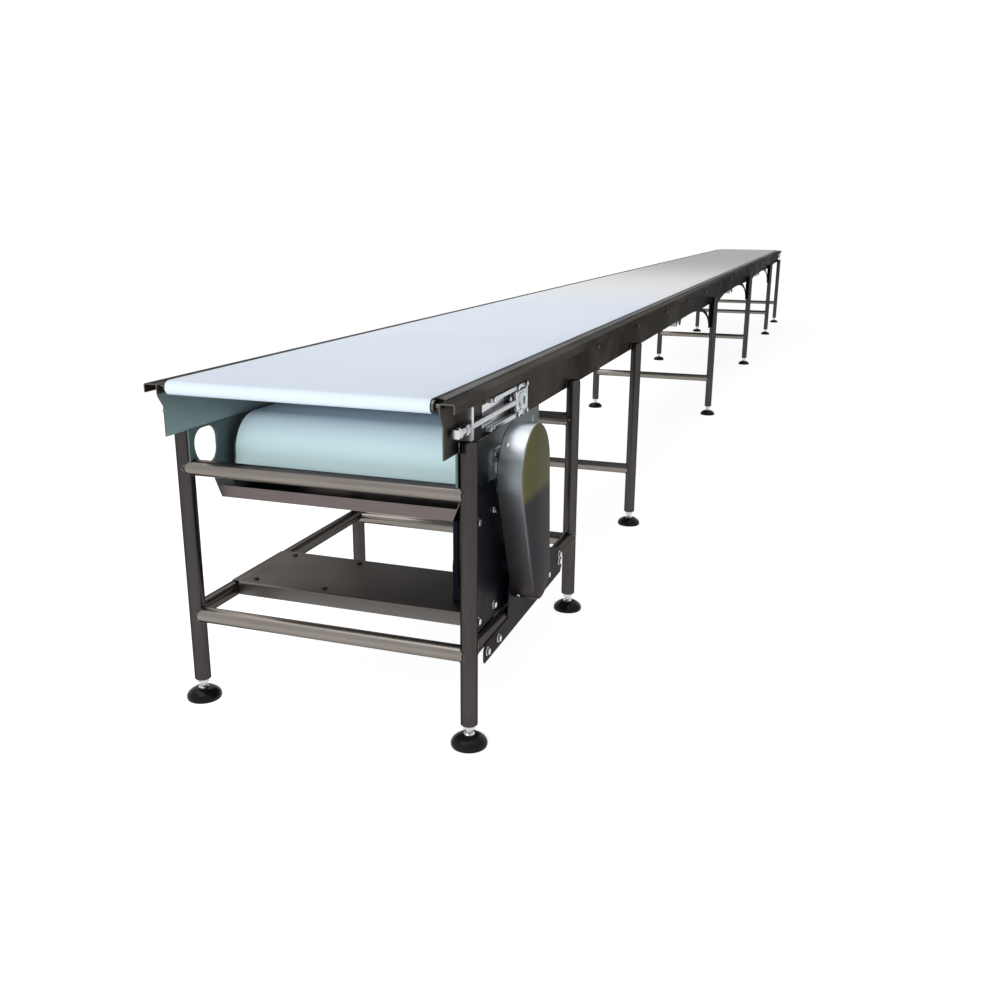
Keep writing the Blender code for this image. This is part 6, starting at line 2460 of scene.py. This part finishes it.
@dataclass(frozen=True)
class Studio:
    """A pale floor, a white surround, soft lamps and the camera, turned about Z, X and Z."""

    ambient: float = 0.34
    floor_half: float = 40.0
    floor_grey: float = 0.50
    floor_glow: float = 0.84
    lens: float = 35.667
    sensor: float = 36.0
    eye: Triple = (1.0231, -1.7267, 1.1208)
    turns: Triple = (0.3239, pi / 2 - 0.2787, 0.0076)
    lamps: tuple[Lamp, ...] = (
        Lamp("key_lamp", (-0.6, 0.4, 3.2), (0.0, 1.0, 0.6), (3.0, 3.0), 28.0),
        Lamp("row_lamp", (-0.6, 3.6, 3.3), (0.0, 3.6, 0.6), (2.5, 3.0), 24.0),
        Lamp("front_lamp", (0.3, -3.4, 0.45), (0.0, 0.3, 0.60), (3.0, 2.4), 78.0, False),
        Lamp("bounce_lamp", (-0.1, -1.0, 0.03), (0.0, 0.28, 0.55), (1.6, 0.8), 5.5, False),
    )

    def build(self) -> None:
        """Set up the floor, the surround, the lamps and the camera."""
        bpy.context.scene.view_settings.view_transform = "Standard"
        self.build_world()
        self.build_floor()
        for lamp in self.lamps:
            lamp.build()
        self.build_camera()

    def white_to_eye(self, tree: bpy.types.NodeTree) -> Socket:
        """1 for rays from the camera, a reflection or a transmission, and 0 for other light."""
        path = tree.nodes.new("ShaderNodeLightPath")
        total = path.outputs["Is Camera Ray"]
        for name in ("Is Glossy Ray", "Is Transmission Ray"):
            step = tree.nodes.new("ShaderNodeMath")
            step.operation = "MAXIMUM"
            tree.links.new(total, step.inputs[0])
            tree.links.new(path.outputs[name], step.inputs[1])
            total = step.outputs["Value"]
        return total

    def build_world(self) -> None:
        """A plain white surround that gives a dimmer, even light."""
        world = bpy.data.worlds.new("surround")
        world.use_nodes = True
        bpy.context.scene.world = world
        tree = world.node_tree
        seen = self.white_to_eye(tree)
        spread = tree.nodes.new("ShaderNodeMapRange")
        spread.inputs["To Min"].default_value = self.ambient
        spread.inputs["To Max"].default_value = 1.0
        tree.links.new(seen, spread.inputs["Value"])
        surround = tree.nodes["Background"]
        surround.inputs["Color"].default_value = (1, 1, 1, 1)
        tree.links.new(spread.outputs["Result"], surround.inputs["Strength"])

    def build_floor(self) -> None:
        """A pale floor that keeps the conveyor's soft shadow."""
        mesh = bpy.data.meshes.new("studio_floor")
        half = self.floor_half
        mesh.from_pydata(
            [(-half, -half, 0), (half, -half, 0), (half, half, 0), (-half, half, 0)], [],
            [(0, 1, 2, 3)]
        )
        floor = bpy.data.objects.new("studio_floor", mesh)
        bpy.context.scene.collection.objects.link(floor)
        material = bpy.data.materials.new("pale_floor")
        material.use_nodes = True
        tree = material.node_tree
        tree.nodes.clear()
        out = tree.nodes.new("ShaderNodeOutputMaterial")
        both = tree.nodes.new("ShaderNodeAddShader")
        matt = tree.nodes.new("ShaderNodeBsdfDiffuse")
        glow = tree.nodes.new("ShaderNodeEmission")
        matt.inputs["Color"].default_value = (*(self.floor_grey,) * 3, 1)
        tree.links.new(self.white_to_eye(tree), glow.inputs["Strength"])
        glow.inputs["Color"].default_value = (*(self.floor_glow,) * 3, 1)
        tree.links.new(matt.outputs["BSDF"], both.inputs[0])
        tree.links.new(glow.outputs["Emission"], both.inputs[1])
        tree.links.new(both.outputs["Shader"], out.inputs["Surface"])
        mesh.materials.append(material)

    def build_camera(self) -> None:
        """A standing view of the driven end, along the conveyor."""
        camera = bpy.data.cameras.new("view")
        camera.lens = self.lens
        camera.sensor_width = self.sensor
        camera.clip_end = 200
        eye = bpy.data.objects.new("view", camera)
        place = Matrix.Translation(LAYOUT.at(*self.eye))
        for turn, axis in zip(self.turns, "ZXZ"):
            place = place @ Matrix.Rotation(turn, 4, axis)
        eye.matrix_world = place
        bpy.context.scene.collection.objects.link(eye)
        bpy.context.scene.camera = eye


def refinish(nodes: dict[str, Object], name: str, material: Material) -> None:
    """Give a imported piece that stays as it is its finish."""
    piece = nodes[name]
    for place in piece.material_slots:
        place.material = material
    if not piece.material_slots:
        piece.data.materials.append(material)
    LOG.info("%s keeps its shape, with %s", name, material.name)


def main() -> None:
    """Build every sub-assembly, then the studio."""
    logging.basicConfig(level=logging.INFO, format="%(name)s: %(message)s")
    palette = Palette()
    repeat = Repeaters()
    Belt().build(palette)
    Channels().build(palette, repeat)
    Bed().build(palette)
    BearingPlates().build(palette)
    for side in Side:
        FlangeBearing(
            f"drum_housing_{side.word}", f"drum_bearing_{side.word}", "drive_drum", side, 0.100,
            0.036, 0.028, 0.015
        ).build(palette)
        FlangeBearing(
            f"tail_housing_{side.word}", f"tail_bearing_{side.word}", "tail_drum", side, 0.078,
            0.029, 0.024, 0.0125
        ).build(palette)
        Brace(side).build(palette)
    TakeUps().build(palette, repeat)
    for number in range(1, 8):
        y = middle_of(f"leg_frame_{number}").y - LAYOUT.nose_y
        LegFrame(number, y, number in (1, 2)).build(palette)
        for side in Side:
            Foot(number, side).build(palette, repeat)
    ChainDrive().build(palette, repeat)
    Guard().build(palette)
    GearMotor().build(palette, repeat)
    refinish(frame["nodes"], "drip_pan", palette.pan)
    Studio().build()


if __name__ == "__main__":
    main()
